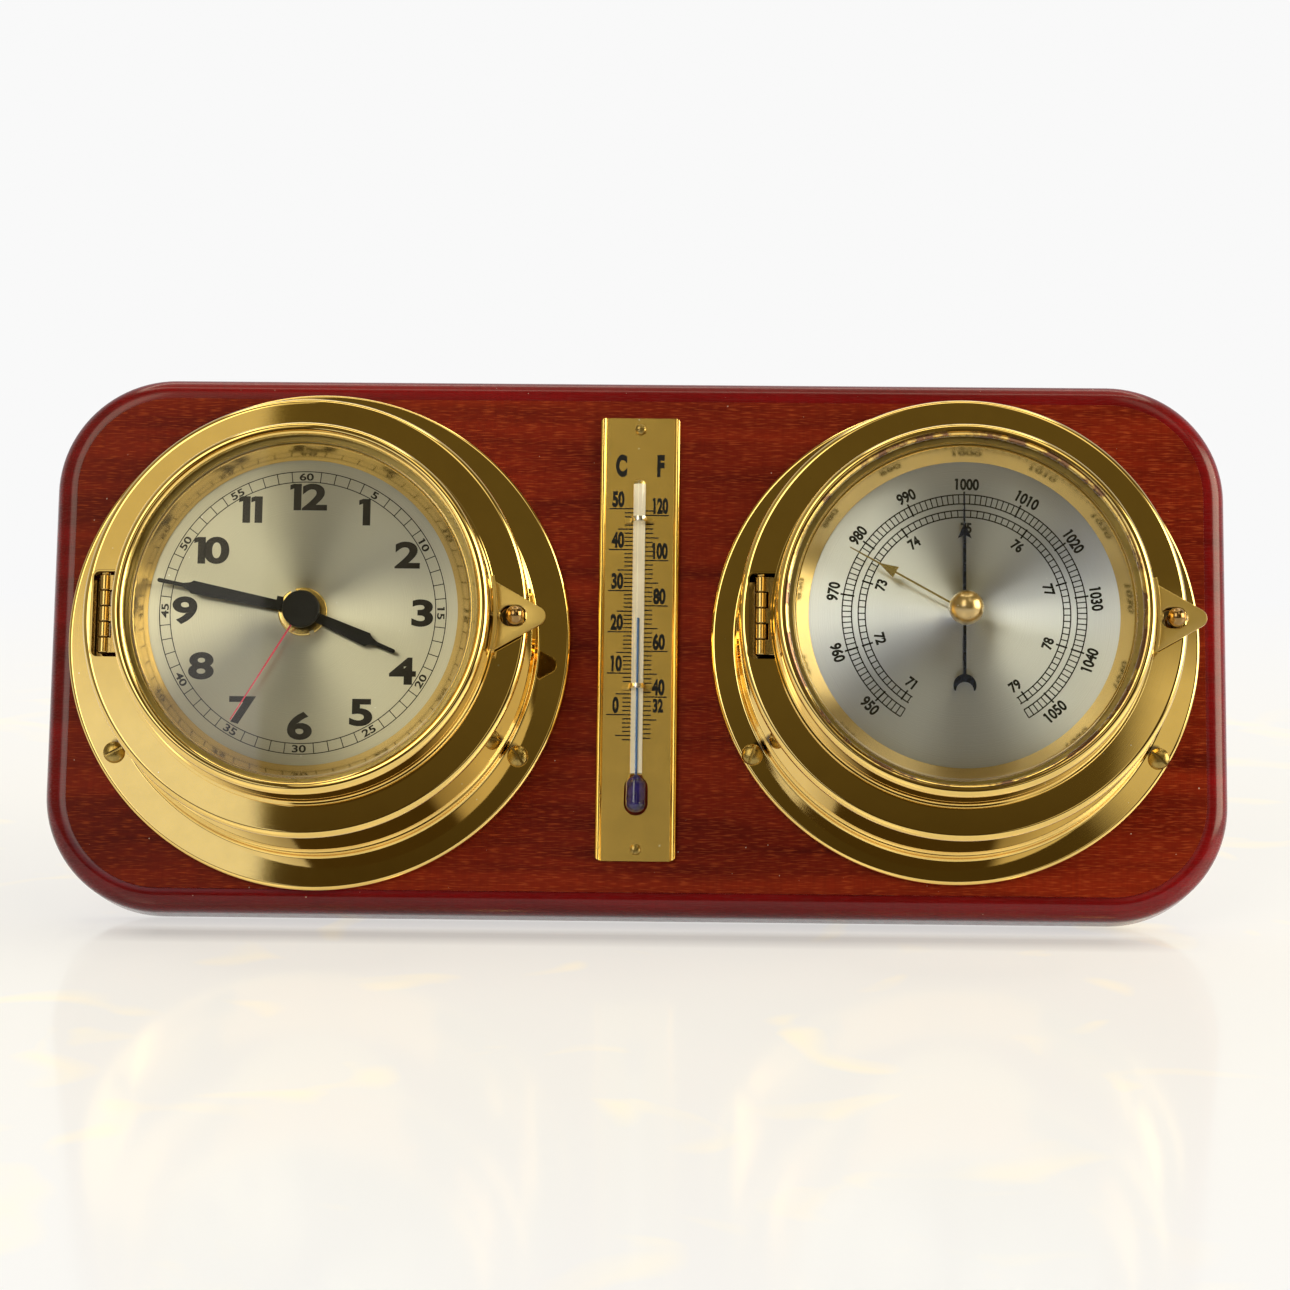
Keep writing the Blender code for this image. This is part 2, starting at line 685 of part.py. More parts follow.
def build_flange_screws(prefix, frame):
    """Three slotted round-head screws through the flange into the board."""
    seat = flange_thickness + touch_gap
    for number, degrees in enumerate(flange_screw_angles, 1):
        across, up = on_circle(screw_circle_radius, degrees)
        shape = screw_shape(screw_head_radius, screw_head_height, screw_shank_radius, seat, -screw_bite)
        screw = add_piece(f"{prefix}_flange_screw_{number}", shape, brass, frame, (0, 0, 0), degrees)
        screw.location = (across, up, 0)
        slot = block(-screw_head_radius - cut_overrun, screw_head_radius + cut_overrun, -screw_slot_width / 2,
                     screw_slot_width / 2, seat + screw_head_height - screw_slot_depth,
                     seat + screw_head_height + cut_overrun)
        combine(screw, "DIFFERENCE", "slot", slot, frame, (0, 0, 0), degrees)
        screw.modifiers["slot"].object.location = (across, up, 0)


def blade_outline(length, shoulder, shoulder_half_width, lug_side):
    """Hand that widens to a shoulder, then narrows to a thin round tip, with one crimped lug."""
    right = [(hand_root_half_width, 0)]
    slope = (shoulder_half_width - hand_root_half_width) / shoulder
    lug_end = lug_start + lug_length
    if lug_side > 0:
        right += [(hand_root_half_width + slope * lug_start, lug_start), (lug_reach, lug_start), (lug_reach, lug_end)]
        right += [(hand_root_half_width + slope * lug_end, lug_end)]
    right += [(shoulder_half_width, shoulder - hand_shoulder_chamfer)]
    right += [(shoulder_half_width - hand_shoulder_chamfer, shoulder)]
    right += [((shoulder_half_width + 2 * hand_tip_half_width) / 3, shoulder + hand_neck / 3)]
    right += [(hand_tip_half_width, shoulder + hand_neck)]
    left = [(-x, y) for x, y in reversed(right) if x != lug_reach]
    if lug_side > 0:
        left = [point for point in left if point[1] not in (lug_start, lug_end)]
    tip = arc((0, length - hand_tip_half_width), hand_tip_half_width, 0, 180, 4)
    return right + tip + left


def build_hand(name, frame, outline, bottom, boss_radius, pipe_radius, bore_radius, turn):
    """Blade, boss and pipe of one hand, bored for the next arbor in."""
    hand = add_piece(name, prism(outline, bottom, bottom + hand_thickness), black, frame, (0, 0, 0), turn)
    boss_top = bottom + hand_boss_height
    pipe_bottom = bushing_top - movement_bore_depth + touch_gap
    stem = [(0, boss_top), (boss_radius, boss_top), (boss_radius, bottom), (pipe_radius, bottom)]
    stem += [(pipe_radius, pipe_bottom), (0, pipe_bottom)]
    combine(hand, "UNION", "boss", turned(stem, small_steps), frame, (0, 0, 0), turn)
    bore = rod(bore_radius, pipe_bottom - cut_overrun, boss_top + cut_overrun)
    combine(hand, "DIFFERENCE", "bore", bore, frame, (0, 0, 0), turn)


def build_clock(frame):
    """Quartz movement hung on the dial by its bushing nut, and the three hands."""
    half = movement_width / 2
    outline = rounded_rectangle(half, half, movement_corner_radius, 3)
    body = add_piece("clock_movement", prism(outline, movement_bottom, movement_top), black, frame)
    combine(body, "UNION", "bushing", rod(bushing_radius, movement_top - movement_floor, bushing_top), frame)
    bore = rod(bushing_bore_radius, bushing_top - movement_bore_depth, bushing_top + cut_overrun)
    combine(body, "DIFFERENCE", "bushing_bore", bore, frame)
    bay_half = battery_length / 2 + battery_cap_length + touch_gap
    bay_reach = battery_radius + touch_gap
    bay = block(-bay_half, bay_half, battery_y - bay_reach, battery_y + bay_reach, movement_bottom - cut_overrun,
                movement_top - movement_floor)
    combine(body, "DIFFERENCE", "battery_bay", bay, frame)
    socket = rod(set_knob_stem_radius + running_gap, movement_bottom - cut_overrun,
                 movement_bottom + set_knob_stem_depth + running_gap)
    combine(body, "DIFFERENCE", "knob_socket", socket, frame)

    cell = [(0, battery_length / 2 + battery_cap_length), (battery_cap_radius, battery_length / 2 + battery_cap_length)]
    cell += [(battery_cap_radius, battery_length / 2), (battery_radius, battery_length / 2)]
    cell += [(battery_radius, -battery_length / 2), (0, -battery_length / 2)]
    battery_height = movement_top - movement_floor - touch_gap - battery_radius
    battery = shifted(along_x(turned(cell, small_steps)), 0, battery_y, battery_height)
    add_piece("clock_battery", battery, battery_wrap, frame)

    knob_top = movement_bottom - running_gap
    knob = [(0, movement_bottom + set_knob_stem_depth), (set_knob_stem_radius, movement_bottom + set_knob_stem_depth)]
    knob += [(set_knob_stem_radius, knob_top), (set_knob_radius, knob_top)]
    knob += [(set_knob_radius, knob_top - set_knob_height), (0, knob_top - set_knob_height)]
    setter = add_piece("clock_set_knob", turned(knob, knob_steps), silver, frame)
    for number in range(set_knob_flutes):
        across, up = on_circle(set_knob_radius, 360 * number / set_knob_flutes)
        flute = rod(set_knob_flute_radius, knob_top - set_knob_height - cut_overrun, knob_top + running_gap / 2, 8)
        combine(setter, "DIFFERENCE", f"flute_{number + 1}", shifted(flute, across, up), frame)

    collar_bore = bushing_radius + touch_gap
    collar = [(collar_bore, nut_bottom + nut_height), (nut_radius - nut_chamfer, nut_bottom + nut_height)]
    collar += [(nut_radius, nut_bottom + nut_height - nut_chamfer), (nut_radius, nut_bottom), (collar_bore, nut_bottom)]
    add_piece("clock_centre_nut", turned(collar, knob_steps), brass, frame)

    hour = blade_outline(hour_length, hour_shoulder, hour_shoulder_half_width, -1)
    build_hand("clock_hour_hand", frame, [(-x, y) for x, y in reversed(hour)], hour_bottom, hour_boss_radius,
               hour_pipe_radius, hour_bore_radius, hour_angle)
    minute = blade_outline(minute_length, minute_shoulder, minute_shoulder_half_width, 1)
    build_hand("clock_minute_hand", frame, minute, minute_bottom, minute_boss_radius, minute_pipe_radius,
               minute_bore_radius, minute_angle)

    needle = [(second_half_width, 0), (second_half_width / 2, second_length)]
    needle += [(-second_half_width / 2, second_length), (-second_half_width, 0)]
    second = add_piece("clock_second_hand", prism(needle, second_bottom, second_bottom + second_thickness), crimson,
                       frame, (0, 0, 0), second_angle)
    cap_centre = (cap_radius - cap_edge_radius, cap_top - cap_edge_radius)
    cap = [(0, cap_top)] + arc(cap_centre, cap_edge_radius, 90, 0, 2)
    cap += [(cap_radius, second_bottom), (second_pin_radius, second_bottom)]
    cap += [(second_pin_radius, bushing_top - movement_bore_depth + 2 * touch_gap)]
    cap += [(0, bushing_top - movement_bore_depth + 2 * touch_gap)]
    combine(second, "UNION", "cap", turned(cap, knob_steps), frame, (0, 0, 0), second_angle)


def pointer_outline():
    """Spear above the arbor, and a crescent counterweight that opens downwards below it."""
    right = [(pointer_needle_half_width / 2, pointer_length)]
    right += [(pointer_needle_half_width, pointer_arrow_start + pointer_arrow_length)]
    right += [(pointer_barb_half_width, pointer_arrow_start)]
    right += [(pointer_rod_half_width, pointer_arrow_start + pointer_barb_rise)]
    lead = math.degrees(math.asin(pointer_rod_half_width / crescent_radius))
    droop = math.degrees(math.asin(crescent_sink / crescent_radius))
    right += arc((0, -pointer_tail), crescent_radius, 90 - lead, -droop, 7)
    right += arc((0, -pointer_tail - crescent_sink), crescent_inner_radius, 0, 72, 4)
    left = [(-x, y) for x, y in reversed(right)]
    return right + [(0, -pointer_tail - crescent_sink + crescent_inner_radius)] + left


def build_barometer_hands(frame):
    """Blued pointer on its arbor, and the brass marker hand turned by a knob through the glass."""
    bottom = dial_front + pointer_lift
    pointer = add_piece("barometer_pointer", prism(pointer_outline(), bottom, bottom + pointer_thickness), blued, frame)
    stem = [(0, bottom + pointer_boss_height), (pointer_boss_radius, bottom + pointer_boss_height)]
    stem += [(pointer_boss_radius, bottom), (arbor_radius, bottom)]
    stem += [(arbor_radius, dial_back - arbor_drop), (0, dial_back - arbor_drop)]
    combine(pointer, "UNION", "arbor", turned(stem, small_steps), frame)

    top = glass_bottom - touch_gap
    right = [(marker_rod_half_width, 0), (marker_rod_half_width, marker_head_start)]
    right += [(marker_head_half_width, marker_head_start)]
    right += [(marker_rod_half_width, marker_head_start + marker_head_length)]
    right += [(marker_rod_half_width / 2, marker_length)]
    outline = right + [(-x, y) for x, y in reversed(right)]
    blade = prism(outline, top - marker_boss_height, top - marker_boss_height + marker_thickness)
    marker = add_piece("barometer_marker_hand", blade, brass, frame, (0, 0, 0), marker_angle)
    boss = rod(marker_boss_radius, top - marker_boss_height, top)
    combine(marker, "UNION", "boss", boss, frame, (0, 0, 0), marker_angle)
    bore = rod(marker_shaft_radius + touch_gap, top - marker_boss_height - cut_overrun, top + cut_overrun)
    combine(marker, "DIFFERENCE", "bore", bore, frame, (0, 0, 0), marker_angle)

    base = glass_top + touch_gap
    crown = base + marker_knob_height
    shoulder = base + marker_knob_neck_height
    knob = [(0, crown)]
    knob += [(marker_knob_radius * math.sin(angle), shoulder + marker_knob_radius / 5
              + (crown - shoulder - marker_knob_radius / 5) * math.cos(angle))
             for angle in (math.radians(22), math.radians(44), math.radians(66), math.radians(84))]
    knob += [(marker_knob_radius, shoulder), (marker_knob_neck_radius, shoulder), (marker_knob_neck_radius, base)]
    knob += [(marker_shaft_radius, base), (marker_shaft_radius, top - marker_boss_height)]
    knob += [(0, top - marker_boss_height)]
    add_piece("barometer_marker_knob", turned(knob, knob_steps), dark_brass, frame)


def build_mechanism(frame):
    """Aneroid movement: frame on three pillars, capsule, C spring and the rocking shaft."""
    shaft_height = dial_back - rocker_headroom - rocker_radius
    capsule_top = shaft_height - rocker_drop
    skin_high = capsule_top - capsule_stud_height
    skin_low = skin_high - capsule_height
    low = skin_low - capsule_stud_height
    plate_top = low - touch_gap
    plate_bottom = plate_top - frame_plate_thickness
    plate = add_piece("aneroid_frame", rod(frame_plate_radius, plate_bottom, plate_top, knob_steps), brass,
                      frame)
    pillar_top = dial_back - touch_gap
    for number, degrees in enumerate((30, 150, 270), 1):
        across, up = on_circle(frame_plate_radius - pillar_inset, degrees)
        pillar = rod(pillar_radius, plate_top - frame_plate_thickness / 2, pillar_top, fine_steps)
        combine(plate, "UNION", f"pillar_{number}", shifted(pillar, across, up), frame)
    for number, side in enumerate((-1, 1), 1):
        near = side * rocker_length / 2 - side * bracket_thickness
        far = side * rocker_length / 2
        bracket = block(rocker_offset - bracket_width / 2, rocker_offset + bracket_width / 2, min(near, far),
                        max(near, far), plate_top - frame_plate_thickness / 2, shaft_height + bracket_width / 2)
        combine(plate, "UNION", f"bracket_{number}", bracket, frame)
    bearing = along_y(rod(rocker_radius + running_gap, -rocker_length / 2 - cut_overrun,
                          rocker_length / 2 + cut_overrun, fine_steps))
    combine(plate, "DIFFERENCE", "bearing", shifted(bearing, rocker_offset, 0, shaft_height), frame)

    ridge_pitch = (capsule_radius - capsule_stud_radius) / (2 * capsule_ridges)
    radii = [capsule_stud_radius + ridge_pitch * step for step in range(2 * capsule_ridges)]
    upper = [(radius, skin_high - (capsule_ridge if step % 2 else 0)) for step, radius in enumerate(radii)]
    lower = [(radius, skin_low + skin_high - height) for radius, height in reversed(upper)]
    middle = (skin_low + skin_high) / 2
    profile = [(0, capsule_top), (capsule_stud_radius, capsule_top)] + upper
    profile += [(capsule_radius, middle + capsule_ridge), (capsule_radius, middle - capsule_ridge)]
    profile += lower + [(capsule_stud_radius, low), (0, low)]
    add_piece("aneroid_capsule", turned(profile, knob_steps), gilt, frame)

    tongue_low = skin_high + spring_clearance
    tongue_high = tongue_low + spring_thickness
    left = -spring_reach
    outline = [(left - spring_foot, low), (left, low), (left, tongue_low), (spring_tongue, tongue_low)]
    outline += [(spring_tongue, tongue_high), (left - spring_thickness, tongue_high)]
    outline += [(left - spring_thickness, low + spring_thickness), (left - spring_foot, low + spring_thickness)]
    spring = add_piece("aneroid_mainspring", section_along_y(outline, spring_width / 2), steel, frame)
    hole = rod(capsule_stud_radius + touch_gap, tongue_low - cut_overrun, tongue_high + cut_overrun)
    combine(spring, "DIFFERENCE", "stud_hole", hole, frame)

    pivot = (rocker_offset, 0, shaft_height)
    shaft = shifted(along_y(rod(rocker_radius, -rocker_length / 2, rocker_length / 2, fine_steps)),
                    rocker_offset, 0, shaft_height)
    rocker = add_piece("aneroid_rocker", shaft, steel, frame, pivot)
    arm_bottom = capsule_top + rocker_swing_room
    arm = block(-rocker_arm_width / 2, rocker_arm_width / 2, -rocker_arm_width / 2, rocker_arm_width / 2,
                arm_bottom, shaft_height)
    reach = block(-rocker_arm_width / 2, rocker_offset, -rocker_arm_width / 2, rocker_arm_width / 2,
                  shaft_height - rocker_arm_thickness, shaft_height)
    combine(rocker, "UNION", "reach", reach, frame, pivot)
    combine(rocker, "UNION", "arm", arm, frame, pivot)


def keyhole_outline():
    """Round hole for a screw head, with a narrower slot above it."""
    neck = math.degrees(math.asin(keyhole_slot_radius / keyhole_head_radius))
    outline = arc((0, -keyhole_drop), keyhole_head_radius, 90 + neck, 450 - neck, 12)
    outline += arc((0, keyhole_rise - keyhole_drop), keyhole_slot_radius, 0, 180, 5)
    return outline


def build_board(frame, clock_frame, barometer_frame):
    """Board with a quirk and ovolo round its front, drilled and recessed for what it carries."""
    def loop(inset, height):
        outline = rounded_rectangle(board_half_width - inset, board_half_height - inset, board_corner_radius - inset,
                                    board_corner_steps)
        return [(x, y, height) for x, y in outline]

    ovolo = arc((ovolo_radius, -quirk_depth - ovolo_radius), ovolo_radius, 180, 90, ovolo_steps)
    loops = [loop(0, -board_thickness)]
    loops += [loop(inset, height) for inset, height in ovolo]
    loops += [loop(ovolo_radius + quirk_width, -quirk_depth), loop(ovolo_radius + quirk_width, 0)]
    board = add_piece("back_board", lofted(loops), mahogany, frame)

    access = rod(access_hole_radius, -board_thickness - cut_overrun, cut_overrun, ring_steps)
    combine(board, "DIFFERENCE", "battery_access", access, clock_frame)
    adjuster = rod(adjuster_hole_radius, -board_thickness - cut_overrun, cut_overrun)
    combine(board, "DIFFERENCE", "adjuster_access", adjuster, barometer_frame)
    for prefix, centre in (("clock", clock_frame), ("barometer", barometer_frame)):
        for number, degrees in enumerate(flange_screw_angles, 1):
            across, up = on_circle(screw_circle_radius, degrees)
            pilot = rod(screw_shank_radius + touch_gap, -screw_bite - touch_gap, cut_overrun, fine_steps)
            combine(board, "DIFFERENCE", f"{prefix}_pilot_{number}", shifted(pilot, across, up), centre)
    for number, up in enumerate((nail_height, -nail_height), 1):
        pilot = rod(nail_shank_radius + touch_gap, -nail_bite - touch_gap, cut_overrun, fine_steps)
        pilot = shifted(pilot, thermometer_shift, thermometer_rise + up)
        combine(board, "DIFFERENCE", f"nail_pilot_{number}", pilot, frame)

    back = -board_thickness
    for side_name, centre in (("left", -instrument_spacing / 2), ("right", instrument_spacing / 2)):
        up = board_half_height - hanger_from_top
        outline = rounded_rectangle(hanger_width / 2 + touch_gap, hanger_height / 2 + touch_gap,
                                    hanger_corner_radius + touch_gap, 3)
        recess = prism(moved(outline, centre, up), back - cut_overrun, back + hanger_thickness + touch_gap)
        combine(board, "DIFFERENCE", f"{side_name}_hanger_recess", recess, frame)
        pocket_half_width = keyhole_head_radius + keyhole_pocket_margin
        pocket_bottom = up - keyhole_drop - keyhole_head_radius - keyhole_pocket_margin
        pocket_top = up + keyhole_rise - keyhole_drop + keyhole_head_radius
        pocket = block(centre - pocket_half_width, centre + pocket_half_width, pocket_bottom, pocket_top,
                       back - cut_overrun, back + keyhole_pocket_depth)
        combine(board, "DIFFERENCE", f"{side_name}_keyhole_pocket", pocket, frame)

        outline = rounded_rectangle(hanger_width / 2, hanger_height / 2, hanger_corner_radius, 3)
        plate = add_piece(f"{side_name}_hanger_plate", prism(moved(outline, centre, up), back, back + hanger_thickness),
                          steel, frame)
        keyhole = prism(moved(keyhole_outline(), centre, up), back - cut_overrun, back + hanger_thickness + cut_overrun)
        combine(plate, "DIFFERENCE", "keyhole", keyhole, frame)
        for number, side in enumerate((-1, 1), 1):
            across = centre + side * hanger_screw_spread
            shank = hanger_screw_shank_radius
            head = hanger_screw_head_radius
            sink = [(0, back - cut_overrun), (head + touch_gap, back - cut_overrun), (head + touch_gap, back)]
            sink += [(shank + touch_gap, back + hanger_thickness), (shank + touch_gap, back + hanger_screw_depth)]
            sink += [(0, back + hanger_screw_depth)]
            screw_room = shifted(turned(sink, fine_steps), across, up)
            combine(plate, "DIFFERENCE", f"screw_hole_{number}", screw_room, frame)
            pilot = rod(shank + touch_gap, back - cut_overrun, back + hanger_screw_depth + touch_gap, fine_steps)
            combine(board, "DIFFERENCE", f"{side_name}_hanger_pilot_{number}", shifted(pilot, across, up), frame)
            profile = [(0, back), (head, back), (shank, back + hanger_thickness)]
            profile += [(shank, back + hanger_screw_depth), (0, back + hanger_screw_depth)]
            add_piece(f"{side_name}_hanger_screw_{number}", shifted(turned(profile, fine_steps), across, up), steel,
                      frame)


def build_thermometer(frame):
    """Gilt scale plate with rolled edges, glass tube and bulb with blue spirit, two clips and two nails."""
    bead_x = thermometer_half_width - thermometer_bead_radius
    face = touch_gap + thermometer_plate_thickness
    outline = [(-thermometer_half_width, touch_gap), (thermometer_half_width, touch_gap)]
    outline += arc((bead_x, face), thermometer_bead_radius, 0, 180, 5)
    outline += arc((-bead_x, face), thermometer_bead_radius, 0, 180, 5)
    plate = add_piece("thermometer_plate", section_along_y(outline, thermometer_length / 2), gilt, frame)
    corners = rounded_rectangle(thermometer_half_width + touch_gap / 2, thermometer_length / 2,
                                thermometer_corner_radius, 3)
    trim = prism(corners, touch_gap - cut_overrun, face + thermometer_bead_radius + cut_overrun)
    combine(plate, "INTERSECT", "corners", trim, frame)
    window_half = bulb_radius + bulb_window_margin
    window_half_height = (bulb_top - bulb_bottom) / 2 + bulb_window_margin
    window = rounded_rectangle(window_half, window_half_height, window_half, 5)
    window = moved(window, 0, (bulb_top + bulb_bottom) / 2)
    combine(plate, "DIFFERENCE", "bulb_window", prism(window, -cut_overrun, face + cut_overrun), frame)
    for number, up in enumerate((nail_height, -nail_height), 1):
        hole = rod(nail_shank_radius + touch_gap, -cut_overrun, face + cut_overrun, fine_steps)
        combine(plate, "DIFFERENCE", f"nail_hole_{number}", shifted(hole, 0, up), frame)
        nail = screw_shape(nail_head_radius, nail_head_height, nail_shank_radius, face + touch_gap, -nail_bite)
        add_piece(f"thermometer_nail_{number}", shifted(nail, 0, up), brass, frame)

    axis_height = face + tube_lift
    inner = bulb_radius - bulb_wall
    belly_top = bulb_top - bulb_neck
    belly_bottom = bulb_bottom + bulb_radius
    profile = [(tube_bore_radius, tube_top), (tube_radius, tube_top), (tube_radius, bulb_top), (bulb_radius, belly_top)]
    profile += arc((0, belly_bottom), bulb_radius, 0, -60, 2) + [(0, bulb_bottom)]
    profile += [(0, bulb_bottom + bulb_wall)] + arc((0, belly_bottom), inner, -60, 0, 2)
    profile += [(inner, belly_top), (tube_bore_radius, bulb_top)]
    shape = open_turned(profile, fine_steps)
    add_piece("thermometer_tube", shifted(along_y(shape), 0, 0, axis_height), clear_glass, frame)
    thread = tube_bore_radius - touch_gap
    pool = inner - touch_gap
    liquid = [(0, spirit_top), (thread, spirit_top), (thread, bulb_top - touch_gap), (pool, belly_top - touch_gap)]
    liquid += arc((0, belly_bottom), pool, 0, -60, 2) + [(0, bulb_bottom + bulb_wall + touch_gap)]
    spirit = shifted(along_y(turned(liquid, fine_steps)), 0, 0, axis_height)
    add_piece("thermometer_spirit", spirit, spirit_blue, frame)

    inside = tube_radius + touch_gap
    outside = inside + clip_thickness
    low = face + touch_gap
    for number, up in enumerate(clip_heights, 1):
        outline = [(outside + clip_foot, low), (outside + clip_foot, low + clip_thickness)]
        outline += [(outside, low + clip_thickness)] + arc((0, axis_height), outside, 0, 180, 8)
        outline += [(-outside, low + clip_thickness), (-outside - clip_foot, low + clip_thickness)]
        outline += [(-outside - clip_foot, low), (-inside, low)]
        outline += arc((0, axis_height), inside, 180, 0, 8) + [(inside, low)]
        clip = shifted(section_along_y(outline, clip_width / 2), 0, up)
        add_piece(f"thermometer_clip_{number}", clip, brass, frame)


def open_turned(profile, steps):
    """Solid of revolution whose profile meets the axis along its way and is closed at its ends."""
    shape = bmesh.new()
    points = [shape.verts.new((radius, 0, height)) for radius, height in profile]
    pairs = [pair for pair in zip(points, points[1:] + points[:1]) if pair[0].co.x > 0 or pair[1].co.x > 0]
    edges = [shape.edges.new(pair) for pair in pairs]
    bmesh.ops.spin(shape, geom=points + edges, cent=(0, 0, 0), axis=(0, 0, 1), angle=math.tau, steps=steps)
    bmesh.ops.remove_doubles(shape, verts=shape.verts, dist=merge_distance)
    bmesh.ops.recalc_face_normals(shape, faces=shape.faces)
    return shape


# Places that the catch, the nails, the tube and the mechanism take from what carries them
tab_bottom = bezel_foot_top + touch_gap
tab_inner_radius = bezel_rim_radius + (bezel_base_radius - bezel_rim_radius) / 3 + touch_gap
tab_screw_height = tab_bottom + tab_thickness + (tab_upright_height - tab_thickness) / 2
nail_height = thermometer_length / 2 - nail_inset
tube_top = nail_height - tube_nail_gap
bulb_bottom = bulb_nail_gap - nail_height
bulb_top = bulb_bottom + bulb_length
spirit_top = bulb_top + spirit_column
clip_heights = (tube_top - clip_drop, bulb_top + clip_rise)

for old in list(bpy.data.objects):
    bpy.data.objects.remove(old)

board_frame = add_frame("board_front", (0, -board_thickness, 0))
clock_centre = add_frame("clock_axis", (-instrument_spacing / 2, -board_thickness, 0))
barometer_centre = add_frame("barometer_axis", (instrument_spacing / 2, -board_thickness, barometer_rise))
thermometer_centre = add_frame("thermometer_axis", (thermometer_shift, -board_thickness, thermometer_rise))

build_board(board_frame, clock_centre, barometer_centre)
instruments = (("clock", clock_centre, clock_flange_radius, bushing_radius + touch_gap, 0),
               ("barometer", barometer_centre, barometer_flange_radius, arbor_radius + running_gap,
                marker_shaft_radius + running_gap))
for prefix, centre, flange_radius, dial_hole, glass_hole in instruments:
    build_case(f"{prefix}_case", centre, flange_radius)
    build_flange_screws(prefix, centre)
    build_dial(prefix, centre, dial_hole)
    build_door(prefix, centre, glass_hole)
    build_hinge(prefix, centre)
    build_catch(prefix, centre)
build_clock(clock_centre)
build_barometer_hands(barometer_centre)
build_mechanism(barometer_centre)
build_thermometer(thermometer_centre)
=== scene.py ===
from math import cos, hypot, pi, radians, sin, tau

import bpy
from mathutils import Matrix, Vector


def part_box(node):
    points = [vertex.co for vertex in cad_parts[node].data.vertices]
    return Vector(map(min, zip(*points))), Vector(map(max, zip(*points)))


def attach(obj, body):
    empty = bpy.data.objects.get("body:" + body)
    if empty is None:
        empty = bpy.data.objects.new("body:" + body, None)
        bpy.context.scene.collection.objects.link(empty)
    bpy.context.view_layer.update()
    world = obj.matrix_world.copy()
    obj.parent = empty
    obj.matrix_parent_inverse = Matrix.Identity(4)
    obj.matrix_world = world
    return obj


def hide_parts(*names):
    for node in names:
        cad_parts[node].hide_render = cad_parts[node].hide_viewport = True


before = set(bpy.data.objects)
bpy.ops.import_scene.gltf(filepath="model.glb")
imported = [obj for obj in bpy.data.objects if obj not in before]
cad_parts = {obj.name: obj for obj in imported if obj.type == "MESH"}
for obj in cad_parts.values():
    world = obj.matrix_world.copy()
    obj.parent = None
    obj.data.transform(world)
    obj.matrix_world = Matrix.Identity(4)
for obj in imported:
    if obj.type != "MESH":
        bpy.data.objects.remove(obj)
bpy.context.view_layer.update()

# Wall board: one mahogany board with round corners, a quirk and an ovolo round its front, lacquered crimson,
# and a bare back. Holes lead to the cell and the adjuster, and the back is let in for two hanger plates.
board_front = -0.018
board_low, board_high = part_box("back_board")
corner_radius = 0.035
ovolo_radius = 0.006
quirk_width = 0.0007
quirk_depth = 0.0008
shoulder_y = board_front + quirk_depth
fit = 0.0003


def middle_of(node):
    """Middle of a CAD piece's box."""
    return [(low + high) / 2 for low, high in zip(*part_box(node))]


clock_axis = (middle_of("clock_case")[0], 0)
barometer_axis = (middle_of("barometer_case")[0], 0.0011)


def feed(node, *sources, **values):
    """Links or sets a node's sockets, in order and by name."""
    named = [(node.inputs[name.replace("_", " ")], value) for name, value in values.items()]
    for socket, value in [*zip(node.inputs, sources), *named]:
        if isinstance(value, bpy.types.NodeSocket):
            tree.links.new(value, socket)
        else:
            socket.default_value = value
    return node


def put(kind, *sources, **values):
    """New node of the open tree."""
    made = tree.nodes.new("ShaderNode" + kind)
    for name in [name for name in values if hasattr(made, name)]:
        setattr(made, name, values.pop(name))
    return feed(made, *sources, **values)


def maths(operation, *values):
    """Operation on numbers."""
    return put("Math", *values, operation=operation).outputs[0]


def mixed(share, first, second):
    """Colour between two colours."""
    made = put("Mix", share, data_type="RGBA")
    for index, value in ((6, first), (7, second)):
        if isinstance(value, bpy.types.NodeSocket):
            tree.links.new(value, made.inputs[index])
        else:
            made.inputs[index].default_value = (*value, 1)
    return made.outputs[2]


def spread(value, low, high, out_low=0, out_high=1):
    """Value carried from one range to another."""
    return put("MapRange", value, low, high, out_low, out_high).outputs[0]


def noise(place, scale, detail, **more):
    """Noise pattern over a place."""
    return put("TexNoise", Vector=place, Scale=scale, Detail=detail, **more).outputs[0]


def relief(height, strength, distance):
    """Normal of a fine relief."""
    return put("Bump", Height=height, Strength=strength, Distance=distance).outputs[0]


def start_group(name, results, **given):
    """Opens a node group that puts out numbers."""
    global tree
    tree = bpy.data.node_groups.new(name, "ShaderNodeTree")
    for label, kind in given.items():
        tree.interface.new_socket(name=label, in_out="INPUT", socket_type="NodeSocket" + kind)
    for label in results:
        tree.interface.new_socket(name=label, in_out="OUTPUT", socket_type="NodeSocketFloat")
    return tree, tree.nodes.new("NodeGroupInput").outputs, tree.nodes.new("NodeGroupOutput")


def use_group(group, **values):
    """What a node group puts out."""
    return feed(put("Group", node_tree=group), **values).outputs


def start_finish(name, **values):
    """Opens a material, with its shader and object coordinates."""
    global tree
    material = bpy.data.materials.new(name)
    material.use_nodes = True
    tree = material.node_tree
    shader = feed(tree.nodes["Principled BSDF"], **values)
    return material, shader, put("TexCoord").outputs["Object"]


